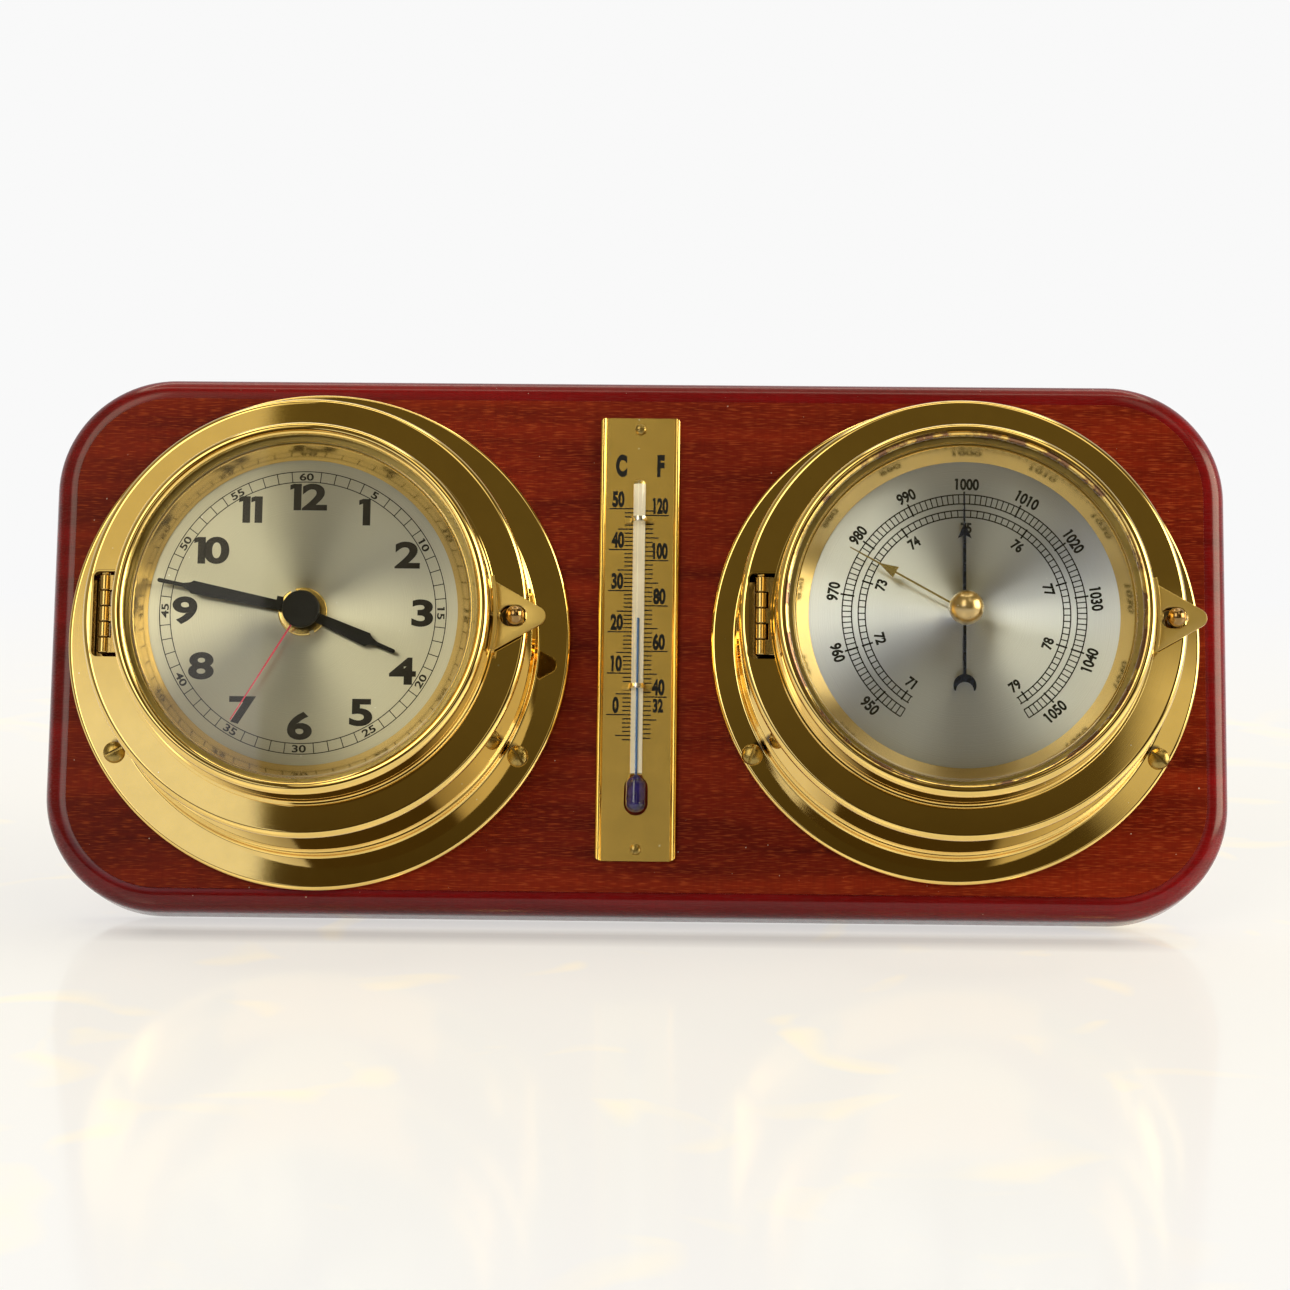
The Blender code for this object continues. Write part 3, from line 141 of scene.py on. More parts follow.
grain_group, given, result = start_group("mahogany_grain", ("Tone", "Pores", "Figure"), Place="Vector")
for label, scale, detail, roughness, low, high in (("Tone", (9, 70, 120), 5, 0.6, 0.32, 0.68),
        ("Pores", (230, 1500, 2700), 1, 0.5, 0.52, 0.7), ("Figure", (1500, 200, 110), 2, 0.6, 0.35, 0.65)):
    stretched = put("Mapping", given["Place"], Scale=scale).outputs[0]
    pattern = noise(stretched, 1, detail, Roughness=roughness)
    feed(result, **{label: spread(pattern, low, high)})

dust_group, given, result = start_group("dust_specks", ["Specks"], Place="Vector", Spacing="Float")
cells = put("TexVoronoi", Vector=given["Place"], Scale=given["Spacing"], Randomness=1).outputs
size = maths("MULTIPLY", maths("POWER", put("SeparateColor", cells["Color"]).outputs[0], 3), 0.075)
feed(result, Specks=maths("LESS_THAN", cells["Distance"], size))


def wood_finish(name, dark, light, pore, figure_share, roughness, coat):
    """Mahogany under lacquer."""
    material, shader, place = start_finish(name, Coat_Weight=coat, Coat_Roughness=0.12, Coat_IOR=1.5,
        Specular_IOR_Level=0.09)
    grain = use_group(grain_group, Place=place)
    dust = use_group(dust_group, Place=place, Spacing=300)
    colour = mixed(grain["Tone"], dark, light)
    for mask, share, over in ((grain["Figure"], figure_share, [part * 0.5 for part in dark]),
            (grain["Pores"], 0.55, pore), (dust["Specks"], 0.6, (0.7, 0.6, 0.52))):
        colour = mixed(maths("MULTIPLY", mask, share), colour, over)
    feed(shader, Base_Color=colour, Roughness=spread(grain["Pores"], 0, 1, roughness, roughness + 0.15),
        Normal=relief(grain["Pores"], 0.12, 0.0001))
    return material


def pick(piece):
    """Leaves one piece selected and active."""
    bpy.ops.object.select_all(action="DESELECT")
    piece.select_set(True)
    bpy.context.view_layer.objects.active = piece


def take(name):
    """The active piece, named with its mesh."""
    piece = bpy.context.active_object
    piece.name = piece.data.name = name
    return piece


def edit():
    """Opens the active mesh with all of it selected."""
    bpy.ops.object.mode_set(mode="EDIT")
    bpy.ops.mesh.select_all(action="SELECT")


def end_edit():
    """Closes the mesh."""
    bpy.ops.object.mode_set(mode="OBJECT")


def modify(piece, kind, **settings):
    """Adds a modifier with its settings and applies it."""
    change = piece.modifiers.new(kind, kind)
    for name, value in settings.items():
        setattr(change, name, value)
    bpy.context.view_layer.objects.active = piece
    bpy.ops.object.modifier_apply(modifier=kind)


def settle(piece, degrees=35):
    """Puts a piece's place into its mesh and shades it smooth up to an angle."""
    pick(piece)
    bpy.ops.object.transform_apply(location=True, rotation=True, scale=True)
    bpy.ops.mesh.customdata_custom_splitnormals_clear()
    bpy.ops.object.shade_smooth_by_angle(angle=radians(degrees))
    modify(piece, "WEIGHTED_NORMAL", keep_sharp=True)
    return piece


def cut_away(piece, tool):
    """Cuts a tool's shape out of a piece and removes the tool."""
    modify(piece, "BOOLEAN", operation="DIFFERENCE", solver="EXACT", object=tool)
    bpy.data.objects.remove(tool)


def dress(piece, finishes, node=None, body="board"):
    """Gives a piece its materials and body, and hides the CAD node that it stands for."""
    for finish in finishes:
        piece.data.materials.append(finish)
    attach(piece, body)
    if node:
        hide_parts(node)


def sawn_block(name, low, high, edge=0, segments=2):
    """Block between two corners, with its edges eased."""
    bpy.ops.mesh.primitive_cube_add(size=1, location=[(a + b) / 2 for a, b in zip(low, high)],
        scale=[b - a for a, b in zip(low, high)])
    bpy.ops.object.transform_apply(location=True, rotation=True, scale=True)
    if edge:
        edit()
        bpy.ops.mesh.bevel(offset=edge, segments=segments, affect="EDGES")
        end_edit()
    return take(name)


def choose(piece, part, test):
    """Selects an open mesh's faces or edges by place."""
    bpy.ops.mesh.select_mode(type=part)
    bpy.ops.mesh.select_all(action="DESELECT")
    end_edit()
    corners = piece.data.vertices
    for item in piece.data.polygons if part == "FACE" else piece.data.edges:
        item.select = test([corners[index].co for index in item.vertices])
    bpy.ops.object.mode_set(mode="EDIT")


def round_edges(piece, test, width, segments):
    """Rounds an open mesh's edges that a test picks."""
    choose(piece, "EDGE", test)
    bpy.ops.mesh.bevel(offset=width, segments=segments, affect="EDGES")


board = sawn_block("board", (board_low.x, shoulder_y, board_low.z), board_high)
edit()
round_edges(board, lambda ends: abs(ends[0].y - ends[1].y) > 0.01, corner_radius, 24)
round_edges(board, lambda ends: all(end.y < shoulder_y + 0.0001 for end in ends), ovolo_radius, 8)
round_edges(board, lambda ends: all(end.y > -0.0001 for end in ends), 0.0006, 2)
choose(board, "FACE", lambda corners: all(corner.y < shoulder_y + 0.00001 for corner in corners))
bpy.ops.mesh.inset(thickness=quirk_width)
bpy.ops.mesh.extrude_region_move(TRANSFORM_OT_translate={"value": (0, -quirk_depth, 0)})
round_edges(board, lambda ends: all(end.y < board_front + 0.00001 for end in ends), 0.00025, 2)
end_edit()
for axis, radius, vertices in ((clock_axis, 0.0387, 128), (barometer_axis, 0.005, 64)):
    bpy.ops.mesh.primitive_cylinder_add(vertices=vertices, radius=radius, depth=0.022, rotation=(pi / 2, 0, 0),
        location=(axis[0], board_front + 0.009, axis[1]))
    cut_away(board, bpy.context.active_object)
for side in ("left", "right"):
    low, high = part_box(side + "_hanger_plate")
    cut_away(board, sawn_block("recess", (low.x - fit, low.y - fit, low.z - fit), (high.x + fit, 0.002, high.z + fit)))
    across = (low.x + high.x) / 2
    cut_away(board, sawn_block("pocket", (across - 0.0055, -0.007, low.z + 0.001),
        (across + 0.0055, 0.002, high.z - 0.0005)))
settle(board, 30)
edge_wood = wood_finish("crimson_lacquered_edge", (0.1, 0.0018, 0.0025), (0.22, 0.0034, 0.006), (0.15, 0.008, 0.008),
    0.15, 0.26, 0.5)
field_wood = wood_finish("mahogany_field", (0.08, 0.0036, 0.0007), (0.23, 0.018, 0.0036), (0.38, 0.068, 0.017), 0.15,
    0.36, 0)
back_wood = wood_finish("bare_mahogany_back", (0.16, 0.045, 0.02), (0.3, 0.1, 0.05), (0.1, 0.03, 0.015), 0.2, 0.55, 0)
dress(board, (edge_wood, field_wood, back_wood), "back_board")
for face in board.data.polygons:
    from_side, from_end = board_high.z - abs(face.center.z), board_high.x - abs(face.center.x)
    inside = min(from_side, from_end)
    if from_side < corner_radius and from_end < corner_radius:
        inside = corner_radius - hypot(corner_radius - from_side, corner_radius - from_end)
    if face.center.y < board_front + 0.0002 and face.normal.y < -0.5:
        face.material_index = 1
    elif face.normal.y > 0.9 or inside > ovolo_radius + 0.002:
        face.material_index = 2

# Hanger plates: two zinc-plated steel plates with keyholes, let into the back of the board and each held
# by two countersunk slotted screws. They are stamped from sheet, so their edges are slightly round.


def steel_finish(name, colour, roughness, spacing=500):
    """Plated or bare metal with a mottled surface."""
    material, shader, place = start_finish(name, Metallic=1)
    cloud = noise(place, spacing, 4, Roughness=0.6)
    feed(shader, Roughness=spread(cloud, 0.3, 0.7, roughness * 0.75, roughness * 1.3),
        Base_Color=mixed(spread(cloud, 0.3, 0.7), [part * 0.72 for part in colour], colour),
        Normal=relief(cloud, 0.06, 0.0001))
    return material


def eased_copy(node, edge, degrees=35):
    """Copy of a CAD piece with whole faces and eased edges."""
    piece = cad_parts[node].copy()
    piece.data = piece.data.copy()
    piece.parent = None
    for label in list(piece.keys()):
        del piece[label]
    bpy.context.scene.collection.objects.link(piece)
    pick(piece)
    take(node + "_eased").data.materials.clear()
    edit()
    bpy.ops.mesh.remove_doubles(threshold=0.000002)
    bpy.ops.mesh.dissolve_limited(angle_limit=radians(1))
    end_edit()
    if edge:
        modify(piece, "BEVEL", width=edge, segments=2, limit_method="ANGLE", angle_limit=radians(40))
    return settle(piece, degrees)


def ease(node, edge, finish, body="board", degrees=35):
    """Dresses an eased copy of a CAD piece in its place."""
    dress(eased_copy(node, edge, degrees), [finish], node, body)


zinc = steel_finish("zinc_plate", (0.62, 0.63, 0.62), 0.34)
for side in ("left", "right"):
    ease(side + "_hanger_plate", 0.0002, zinc)
    for number in (1, 2):
        node = f"{side}_hanger_screw_{number}"
        low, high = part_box(node)
        screw = eased_copy(node, 0, 50)
        up = middle_of(node)[2]
        cut_away(screw, sawn_block("slot", (low.x - 0.001, -0.0008, up - 0.0004), (high.x + 0.001, 0.001, up + 0.0004)))
        dress(settle(screw, 40), [zinc], node)

# Cases: each drum is spun from sheet brass over a former, with a flange, a band at its foot and a flat face
# with a slot for the hinge. The spinner's burnisher left fine rings all round, under a clear lacquer.
axes = {"clock": clock_axis, "barometer": barometer_axis}
flange_radii = {"clock": 0.075, "barometer": 0.0726}
face_height = 0.042
face_opening = 0.0452
drum_radius = 0.0644
sheet = 0.0012
gold_brass = (0.86, 0.6, 0.165)


def arc(centre, radius, start, end, steps):
    """Points on an arc, with angles in degrees."""
    angles = [radians(start + (end - start) * step / steps) for step in range(steps + 1)]
    return [(centre[0] + radius * cos(angle), centre[1] + radius * sin(angle)) for angle in angles]


def mm(*sizes):
    """Points in metres from pairs of sizes in millimetres."""
    return [(radius / 1000, height / 1000) for radius, height in zip(sizes[::2], sizes[1::2])]


def on_board(axis, height=0):
    """Point at a height over the board's front."""
    return Vector((axis[0], board_front - height, axis[1]))


def lathe(name, foot, profile, steps=192, way=(0, -1, 0)):
    """Piece turned from a profile of (radius, height) points."""
    way = Vector(way)
    radius, height = profile[0]
    bpy.ops.mesh.primitive_circle_add(vertices=steps, radius=radius, location=foot + way * height,
        rotation=way.to_track_quat("Z", "Y").to_euler())
    piece = take(name)
    edit()
    for next_radius, next_height in profile[1:]:
        bpy.ops.mesh.extrude_edges_move(TRANSFORM_OT_translate={"value": way * (next_height - height)})
        ratio = next_radius / radius
        bpy.ops.transform.resize(value=[1 if abs(part) > 0.5 else ratio for part in way],
            center_override=foot + way * next_height)
        radius, height = next_radius, next_height
    bpy.ops.mesh.select_all(action="SELECT")
    bpy.ops.mesh.remove_doubles(threshold=0.0000005)
    bpy.ops.mesh.fill_holes(sides=0)
    bpy.ops.mesh.normals_make_consistent(inside=False)
    end_edit()
    return settle(piece)


def join_up(name, pieces):
    """Pieces joined into the first of them."""
    pick(pieces[0])
    for piece in pieces:
        piece.select_set(True)
    bpy.ops.object.join()
    return settle(take(name))


def slot_block(axis, right, front, back):
    """Open block with the shape of a hinge's slot."""
    left, face_y = axis[0] - 0.0619, board_front - face_height
    block = sawn_block("slot", (left, face_y + front, axis[1] - 0.013), (right, face_y + back, axis[1] + 0.013))
    edit()
    round_edges(block, lambda ends: abs(ends[0].y - ends[1].y) > 0.004 and ends[0].x < left + 0.001, 0.0022, 6)
    return block


def vectors(operation, *values):
    """Operation on vectors, with a number for a length or distance."""
    made = put("VectorMath", *values, operation=operation)
    return made.outputs[1 if operation in ("LENGTH", "DISTANCE") else 0]


spun_group, given, result = start_group("spun_marks", ("Rings", "Clouds", "Reach"), Place="Vector", Centre="Vector",
    Fineness="Float")
arm = vectors("SUBTRACT", given["Place"], given["Centre"])
reach = vectors("LENGTH", vectors("MULTIPLY", arm, (1, 0, 1)))
path = maths("ADD", reach, put("SeparateXYZ", arm).outputs[1])
path = maths("MULTIPLY", path, given["Fineness"])
rings = put("TexNoise", W=path, Scale=1, Detail=3, Roughness=0.7, noise_dimensions="1D").outputs[0]
clouds = noise(given["Place"], 140, 4, Roughness=0.6)
feed(result, Rings=rings, Clouds=spread(clouds, 0.3, 0.7), Reach=reach)

tarnish_group, given, result = start_group("tarnish", ["Stain"], Place="Vector", Amount="Float")
patches = noise(given["Place"], 520, 5, Roughness=0.7)
over = maths("SUBTRACT", patches, maths("SUBTRACT", 1, given["Amount"]))
feed(result, Stain=spread(over, -0.02, 0.06))


def brass_finish(name, axis, colour=gold_brass, roughness=0.028, ring_depth=0.012, stain=0.28, specks=True, coat=0.7,
        worn_lip=False, shade_and_dark_spots=()):
    """Lacquered brass with turning marks, haze, dust, stains, a browned lip and dark spots, one of them painted shade.
    """
    material, shader, place = start_finish(name, Metallic=1, Coat_Weight=coat, Coat_Roughness=0.02)
    marks = use_group(spun_group, Place=place, Centre=(axis[0], board_front, axis[1]), Fineness=4200)
    stained = use_group(tarnish_group, Place=place, Amount=stain)["Stain"]
    clouds = marks["Clouds"]
    tone = mixed(clouds, [part * 0.93 for part in colour], colour)
    tone = mixed(stained, tone, [part * 0.7 for part in colour])
    haze = spread(clouds, 0, 1, roughness * 0.985, roughness * 1.015)
    haze = maths("MULTIPLY_ADD", stained, 0.03, haze)
    if worn_lip:
        worn = maths("MULTIPLY", spread(marks["Reach"], 0.0512, 0.0522, 1, 0), spread(clouds, 0.38, 0.62))
        tone = mixed(worn, tone, (0.24, 0.115, 0.055))
        haze = maths("MULTIPLY_ADD", worn, 0.25, haze)
    # Painted shade: each spot darkens the colour towards near black. The spot under the catch tab's eye stands for the
    # tab's shade, and the others darken the brass at the inner side of each flange screw.
    for across, up, reach in shade_and_dark_spots:
        gap = vectors("DISTANCE", vectors("MULTIPLY", place, (1, 0, 1)), (axis[0] + across, 0, axis[1] + up))
        ragged = maths("MULTIPLY_ADD", clouds, reach * 0.5, gap)
        tone = mixed(spread(ragged, reach * 0.8, reach * 1.2, 0.92, 0), tone, (0.045, 0.022, 0.006))
    if specks:
        tone = mixed(use_group(dust_group, Place=place, Spacing=260)["Specks"], tone, (0.95, 0.85, 0.65))
    feed(shader, Base_Color=tone, Roughness=haze, Normal=relief(marks["Rings"], ring_depth, 0.00004))
    return material


# Dark spots as (across, up, reach) from each case's axis. The first, under the catch tab's eye, is painted shade, and
# the others lie at the inner side of the flange screws.
painted_shade_and_dark_spots = ((0.0592, 0, 0.0043), (-0.0585, -0.0325, 0.0026), (0.0585, -0.0325, 0.0026), (0, 0.0668, 0.0024))
for prefix, axis in axes.items():
    flange_radius, inner_radius = flange_radii[prefix], drum_radius - sheet
    profile = [(face_opening, face_height)] + arc((drum_radius - 0.0018, face_height - 0.0018), 0.0018, 90, 0, 8)
    profile += [(drum_radius, 0.0116), (drum_radius + 0.00045, 0.0112), (drum_radius + 0.0005, 0.0108)]
    profile += arc((drum_radius + 0.0015, 0.004), 0.001, 180, 270, 5)
    profile += arc((flange_radius - 0.0012, 0.0018), 0.0012, 90, 0, 7)
    profile += [(flange_radius, 0.0003), (inner_radius, 0.0003), (inner_radius, face_height - sheet),
        (face_opening, face_height - sheet), (face_opening, face_height)]
    case = lathe(prefix + "_drum", on_board(axis), profile)
    right = axis[0] - 0.0506
    slot_tool = slot_block(axis, right, -0.002, 0.0032)
    end_edit()
    cut_away(case, slot_tool)
    lip = slot_block(axis, right - 0.002, 0.0002, 0.006)
    choose(lip, "FACE", lambda corners: len({round(corner.y, 5) for corner in corners}) == 1
        or all(corner.x > right - 0.0021 for corner in corners))
    bpy.ops.mesh.delete(type="FACE")
    end_edit()
    modify(lip, "SOLIDIFY", thickness=0.0005, offset=-1)
    finish = brass_finish(prefix + "_spun_brass", axis, shade_and_dark_spots=painted_shade_and_dark_spots)
    dress(join_up(prefix + "_drum", [case, lip]), [finish], prefix + "_case")

# Flange screws: slotted round-head brass wood screws, three to a case, through the flange into the board.
# Their heads are turned, slotted with a saw and dulled by handling.
screw_circle = 0.0692
slot_turns = {"clock": (30, 118, 35), "barometer": (80, -20, 50)}


def slotted_head(name, foot, way, radius, height, shank_radius, depth, slot_width, slot_turn):
    """Domed screw head on its shank, with a sawn slot across it."""
    dome = [(radius * sin(radians(angle)), height * (0.25 + 0.75 * cos(radians(angle))))
        for angle in (90, 76, 62, 48, 34, 20, 8)]
    profile = [(shank_radius, -depth), (shank_radius, 0), (radius * 0.96, 0),
        (radius, height * 0.1)] + dome + [(0, height)]
    screw = lathe(name, foot, profile, 48, way)
    way = Vector(way)
    bpy.ops.mesh.primitive_cube_add(size=1)
    tool = bpy.context.active_object
    turn = way.to_track_quat("Z", "Y").to_matrix().to_4x4() @ Matrix.Rotation(radians(slot_turn), 4, "Z")
    tool.matrix_world = (Matrix.Translation(foot + way * (height * 1.15)) @ turn
        @ Matrix.Diagonal((slot_width, radius * 2.4, height * 1.2, 1)))
    cut_away(screw, tool)
    return settle(screw)


old_brass = brass_finish("handled_brass", clock_axis, (0.36, 0.25, 0.07), 0.3, 0.05, 0.4, False, 0.2)
for prefix, axis in axes.items():
    for number, degrees in enumerate((90, 210, 330), 1):
        node = f"{prefix}_flange_screw_{number}"
        seat = arc(axis, screw_circle, degrees, degrees, 1)[0]
        screw = slotted_head(node + "_head", on_board(seat, 0.0033), (0, -1, 0), 0.00315, 0.0021, 0.0015, 0.0123,
            0.0008, slot_turns[prefix][number - 1])
        dress(screw, [old_brass], node)

# Clock movement: a black moulded quartz movement hung on the dial by its threaded bushing. Its AA cell lies
# in a bay at the bottom, and a grey fluted knob on its back sets the hands.


def plastic_finish(name, colour, roughness, grain=2200, sheen=0.5):
    """Moulded plastic with a fine spark-eroded grain."""
    material, shader, place = start_finish(name, IOR=1.46, Specular_IOR_Level=sheen)
    wide = noise(place, 90, 3)
    feed(shader, Base_Color=mixed(wide, [part * 0.8 for part in colour], [part * 1.2 for part in colour]),
        Roughness=spread(wide, 0.3, 0.7, roughness * 0.85, roughness * 1.15),
        Normal=relief(noise(place, grain, 2), 0.15, 0.00005))
    return material


ease("clock_movement", 0.0004, plastic_finish("black_moulding", (0.022, 0.022, 0.024), 0.42))

low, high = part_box("clock_battery")
middle = (low + high) / 2
cell_radius = (high.z - low.z) / 2
reach = (high.x - low.x) / 2
can = [(0.0046, -reach)] + arc((cell_radius - 0.0008, -reach + 0.001), 0.0008, 270, 360, 4)
can += arc((cell_radius - 0.0008, reach - 0.002), 0.0008, 0, 90, 4)
can += [(0.005, reach - 0.0011), (0.0028, reach - 0.0011), (0.0027, reach - 0.0002), (0.0024, reach), (0, reach)]
cell = lathe("battery_cell", middle, can, 64, (1, 0, 0))
dress(cell, (plastic_finish("battery_sleeve", (0.05, 0.05, 0.055), 0.3),
    plastic_finish("battery_gold_band", (0.55, 0.38, 0.12), 0.3), zinc), "clock_battery")
for face in cell.data.polygons:
    along = face.center.x - middle.x
    face.material_index = 2 if abs(along) > reach - 0.0013 else 1 if along > reach - 0.016 else 0

ease("clock_set_knob", 0.0002, plastic_finish("grey_knob_moulding", (0.32, 0.32, 0.33), 0.4),
    "set_knob", 40)

# Dials: brass plates silvered and spun with a fine abrasive, so that the light stands in two bright fans on
# them. The clock's is varnished champagne, the barometer's is plain silver. The figures are printed in black.
dial_front = 0.0435
ink_height = 0.00004
ink_lift = dial_front + 0.00003
ink_back, ink_front = ink_lift - ink_height / 2, ink_lift + ink_height / 2
dial_looks = {"clock": ("champagne", (0.55, 0.52, 0.395), (0.78, 0.74, 0.58), 0.36, "dial_champagne", 0.00375),
    "barometer": ("plain", (0.63, 0.64, 0.65), (0.92, 0.94, 0.95), 0.28, "dial_silver", 0.0015)}


def dial_finish(name, axis, dark, light, roughness):
    """Silvering whose fine rings spread a highlight outwards."""
    material, shader, place = start_finish(name, Metallic=1, Anisotropic=1, Roughness=roughness)
    marks = use_group(spun_group, Place=place, Centre=(axis[0], board_front, axis[1]), Fineness=9000)
    arm = vectors("MULTIPLY", vectors("SUBTRACT", place, (axis[0], 0, axis[1])), (1, 0, 1))
    tone = mixed(spread(marks["Rings"], 0.3, 0.7), dark, light)
    tone = mixed(use_group(dust_group, Place=place, Spacing=330)["Specks"], tone, (0.95, 0.95, 0.92))
    feed(shader, Base_Color=tone, Tangent=vectors("NORMALIZE", arm), Normal=relief(marks["Rings"], 0.12, 0.00002))
    return material


def ink_finish(name, colour):
    """Printing ink with an uneven coat."""
    material, shader, place = start_finish(name, Specular_IOR_Level=0.1)
    cover = noise(place, 1300, 3)
    feed(shader, Base_Color=mixed(cover, colour, [part * 2.2 for part in colour]),
        Roughness=spread(cover, 0.3, 0.7, 0.42, 0.6))
    return material


def turned(degrees, axis_name="Y"):
    """Rotation about one of the main axes."""
    return Matrix.Rotation(radians(degrees), 4, axis_name)


def stand_on_front(piece, across, up, height, turn=0):
    """Lays a piece drawn in the XY plane on the front, turned clockwise."""
    piece.matrix_world = Matrix.Translation(on_board((across, up), height)) @ turned(90, "X") @ turned(-turn, "Z")
    return settle(piece)


def print_words(words, across, up, height, size, turn=0, weight=0, stretch=1):
    """Printed figure. A one is a stem that gets a flag."""
    bpy.ops.object.text_add()
    made = bpy.context.active_object
    for name, value in {"body": words, "size": size, "align_x": "CENTER", "align_y": "CENTER", "offset": weight,
            "extrude": ink_height / 2, "resolution_u": 6}.items():
        setattr(made.data, name, value)
    bpy.ops.object.convert(target="MESH")
    if "1" in words:
        edit()
        bpy.ops.mesh.remove_doubles(threshold=0.0000001)
        bpy.ops.mesh.separate(type="LOOSE")
        end_edit()
        parts = list(bpy.context.selected_objects)
        for part in list(parts):
            xs, ys = ([corner.co[axis] for corner in part.data.vertices] for axis in (0, 1))
            tall = max(ys) - min(ys)
            if max(xs) - min(xs) < 0.33 * tall:
                flag = sawn_block("flag", (-0.11 * tall, -0.18 * tall, -ink_height / 2),
                    (0.02 * tall, 0, ink_height / 2))
                slope = Matrix(((1, 0, 0, 0), (0.45, 1, 0, 0), (0, 0, 1, 0), (0, 0, 0, 1)))
                flag.data.transform(Matrix.Translation((min(xs), max(ys), 0)) @ slope)
                parts.append(flag)
        pick(made)
        for part in parts:
            part.select_set(True)
        bpy.ops.object.join()
    corners = [corner.co for corner in made.data.vertices]
    middle = [(min(corner[axis] for corner in corners) + max(corner[axis] for corner in corners)) / 2
        for axis in (0, 1)]
    made.data.transform(Matrix.Diagonal((stretch, 1, 1, 1)) @ Matrix.Translation((-middle[0], -middle[1], 0)))
    return stand_on_front(made, across, up, height, turn)


def spin_round(axis, degrees, **settings):
    """Spins the active mesh clockwise round an axis and leaves it open."""
    edit()
    bpy.ops.mesh.spin(angle=radians(degrees), center=on_board(axis), axis=(0, -1, 0), **settings)


def print_ticks(axis, inner, outer, width, start, step, count):
    """Printed strokes round a dial, clockwise from a start angle."""
    tick = sawn_block("ticks", (-width / 2, -ink_front, inner), (width / 2, -ink_back, outer))
    tick.matrix_world = Matrix.Translation(on_board(axis)) @ turned(start)
    settle(tick)
    spin_round(axis, step * (count - 1), steps=count - 1, dupli=True, use_auto_merge=False)
    end_edit()
    return tick


def print_arc(axis, radius, width, half_gap):
    """Printed circle left open at the bottom."""
    bpy.ops.mesh.primitive_plane_add(size=1)
    strip = bpy.context.active_object
    strip.matrix_world = (Matrix.Translation(on_board(axis, ink_lift)) @ turned(180 + half_gap)
        @ Matrix.Translation((0, 0, radius)) @ turned(90) @ Matrix.Diagonal((width, ink_height, 1, 1)))
    settle(strip)
    spin_round(axis, 360 - 2 * half_gap, steps=160, dupli=False)
    bpy.ops.mesh.select_all(action="SELECT")
    bpy.ops.mesh.normals_make_consistent(inside=False)
    end_edit()
    return strip


def print_round(words, axis, radius, degrees, upright_to, size, weight, stretch):
    """Printed figure on a circle, its foot outwards past an angle from the top."""
    angle = radians(degrees)
    turn = degrees if cos(angle) > cos(radians(upright_to)) else degrees + 180
    return print_words(words, axis[0] + radius * sin(angle), axis[1] + radius * cos(angle), ink_lift, size, turn,
        weight, stretch)


for prefix, axis in axes.items():
    look, dark, light, roughness, slot, hole = dial_looks[prefix]
    profile = [(hole, dial_front), (0.0492, dial_front), (0.0492, 0.0423), (hole, 0.0423), (hole, dial_front)]
    dial = lathe(prefix + "_dial_plate", on_board(axis), profile)
    dress(dial, [dial_finish(look + "_silvering", axis, dark, light, roughness)], prefix + "_dial")

track_inner, track_outer, track_line = 0.0381, 0.04115, 0.00026
printed = []
for radius in (track_inner, track_outer):
    inner, outer = radius - track_line / 2, radius + track_line / 2
    profile = [(inner, ink_front), (outer, ink_front), (outer, ink_back), (inner, ink_back), (inner, ink_front)]
    printed.append(lathe("ring", on_board(clock_axis), profile))
for first in range(0, 60, 5):
    printed.append(print_ticks(clock_axis, track_inner, track_outer, track_line, 6 * (first + 1), 6, 4))
hour_places = {1: (17, 29.4), 2: (29.6, 16.9), 3: (34.3, 0), 4: (29, -16.9), 5: (17.4, -29), 6: (0, -33),
    7: (-16.5, -28.6), 8: (-28.7, -15.9), 9: (-33.9, 0.2), 10: (-27, 17.8), 11: (-15.9, 29.9), 12: (0.6, 33.7)}
one_shifts = {10: (-3.2, 1.65), 11: (-1.75, 1.75), 12: (-3.6, 1.85)}
for hour, (across, up) in hour_places.items():
    for figure, shift in zip(str(hour), one_shifts.get(hour, (0,))):
        printed.append(print_words(figure, clock_axis[0] + (across + shift) / 1000, clock_axis[1] + up / 1000, ink_lift,
            0.0104, weight=0.00035, stretch=1.4 if figure != "1" else 1.28))
    printed.append(print_round(str(hour * 5), clock_axis, 0.0396, 30 * hour, 107, 0.0029, 0.00007, 1.45))
dress(join_up("clock_figures", printed), [ink_finish("charcoal_ink", (0.02, 0.018, 0.016))])

millibar_angle = 2.7
millimetre_angle = 3.6
half_gap = 180 - 55 * millibar_angle
printed = [print_arc(barometer_axis, radius, 0.00036, half_gap) for radius in (0.0283, 0.0303, 0.0322, 0.0349)]
for inner, outer, width, first, angle, step, count in ((0.0322, 0.0349, 0.00032, -55, millibar_angle, 1, 111),
        (0.0318, 0.0358, 0.0005, -50, millibar_angle, 10, 11), (0.0283, 0.0303, 0.00032, -41, millimetre_angle, 1, 83),
        (0.0274, 0.0307, 0.0005, -40, millimetre_angle, 10, 9)):
    printed.append(print_ticks(barometer_axis, inner, outer, width, first * angle, step * angle, count))
for values, middle_value, step, radius, size in ((range(950, 1051, 10), 1000, 2.72, 0.0379, 0.0044),
        (range(71, 80), 75, 36, 0.0251, 0.004)):
    for value in values:
        degrees = (value - middle_value) * step + 1.2
        printed.append(print_round(str(value), barometer_axis, radius, degrees, 90, size, 0.00016, 0.82))
black_ink = ink_finish("black_ink", (0.01, 0.01, 0.01))
dress(join_up("barometer_figures", printed), [black_ink])

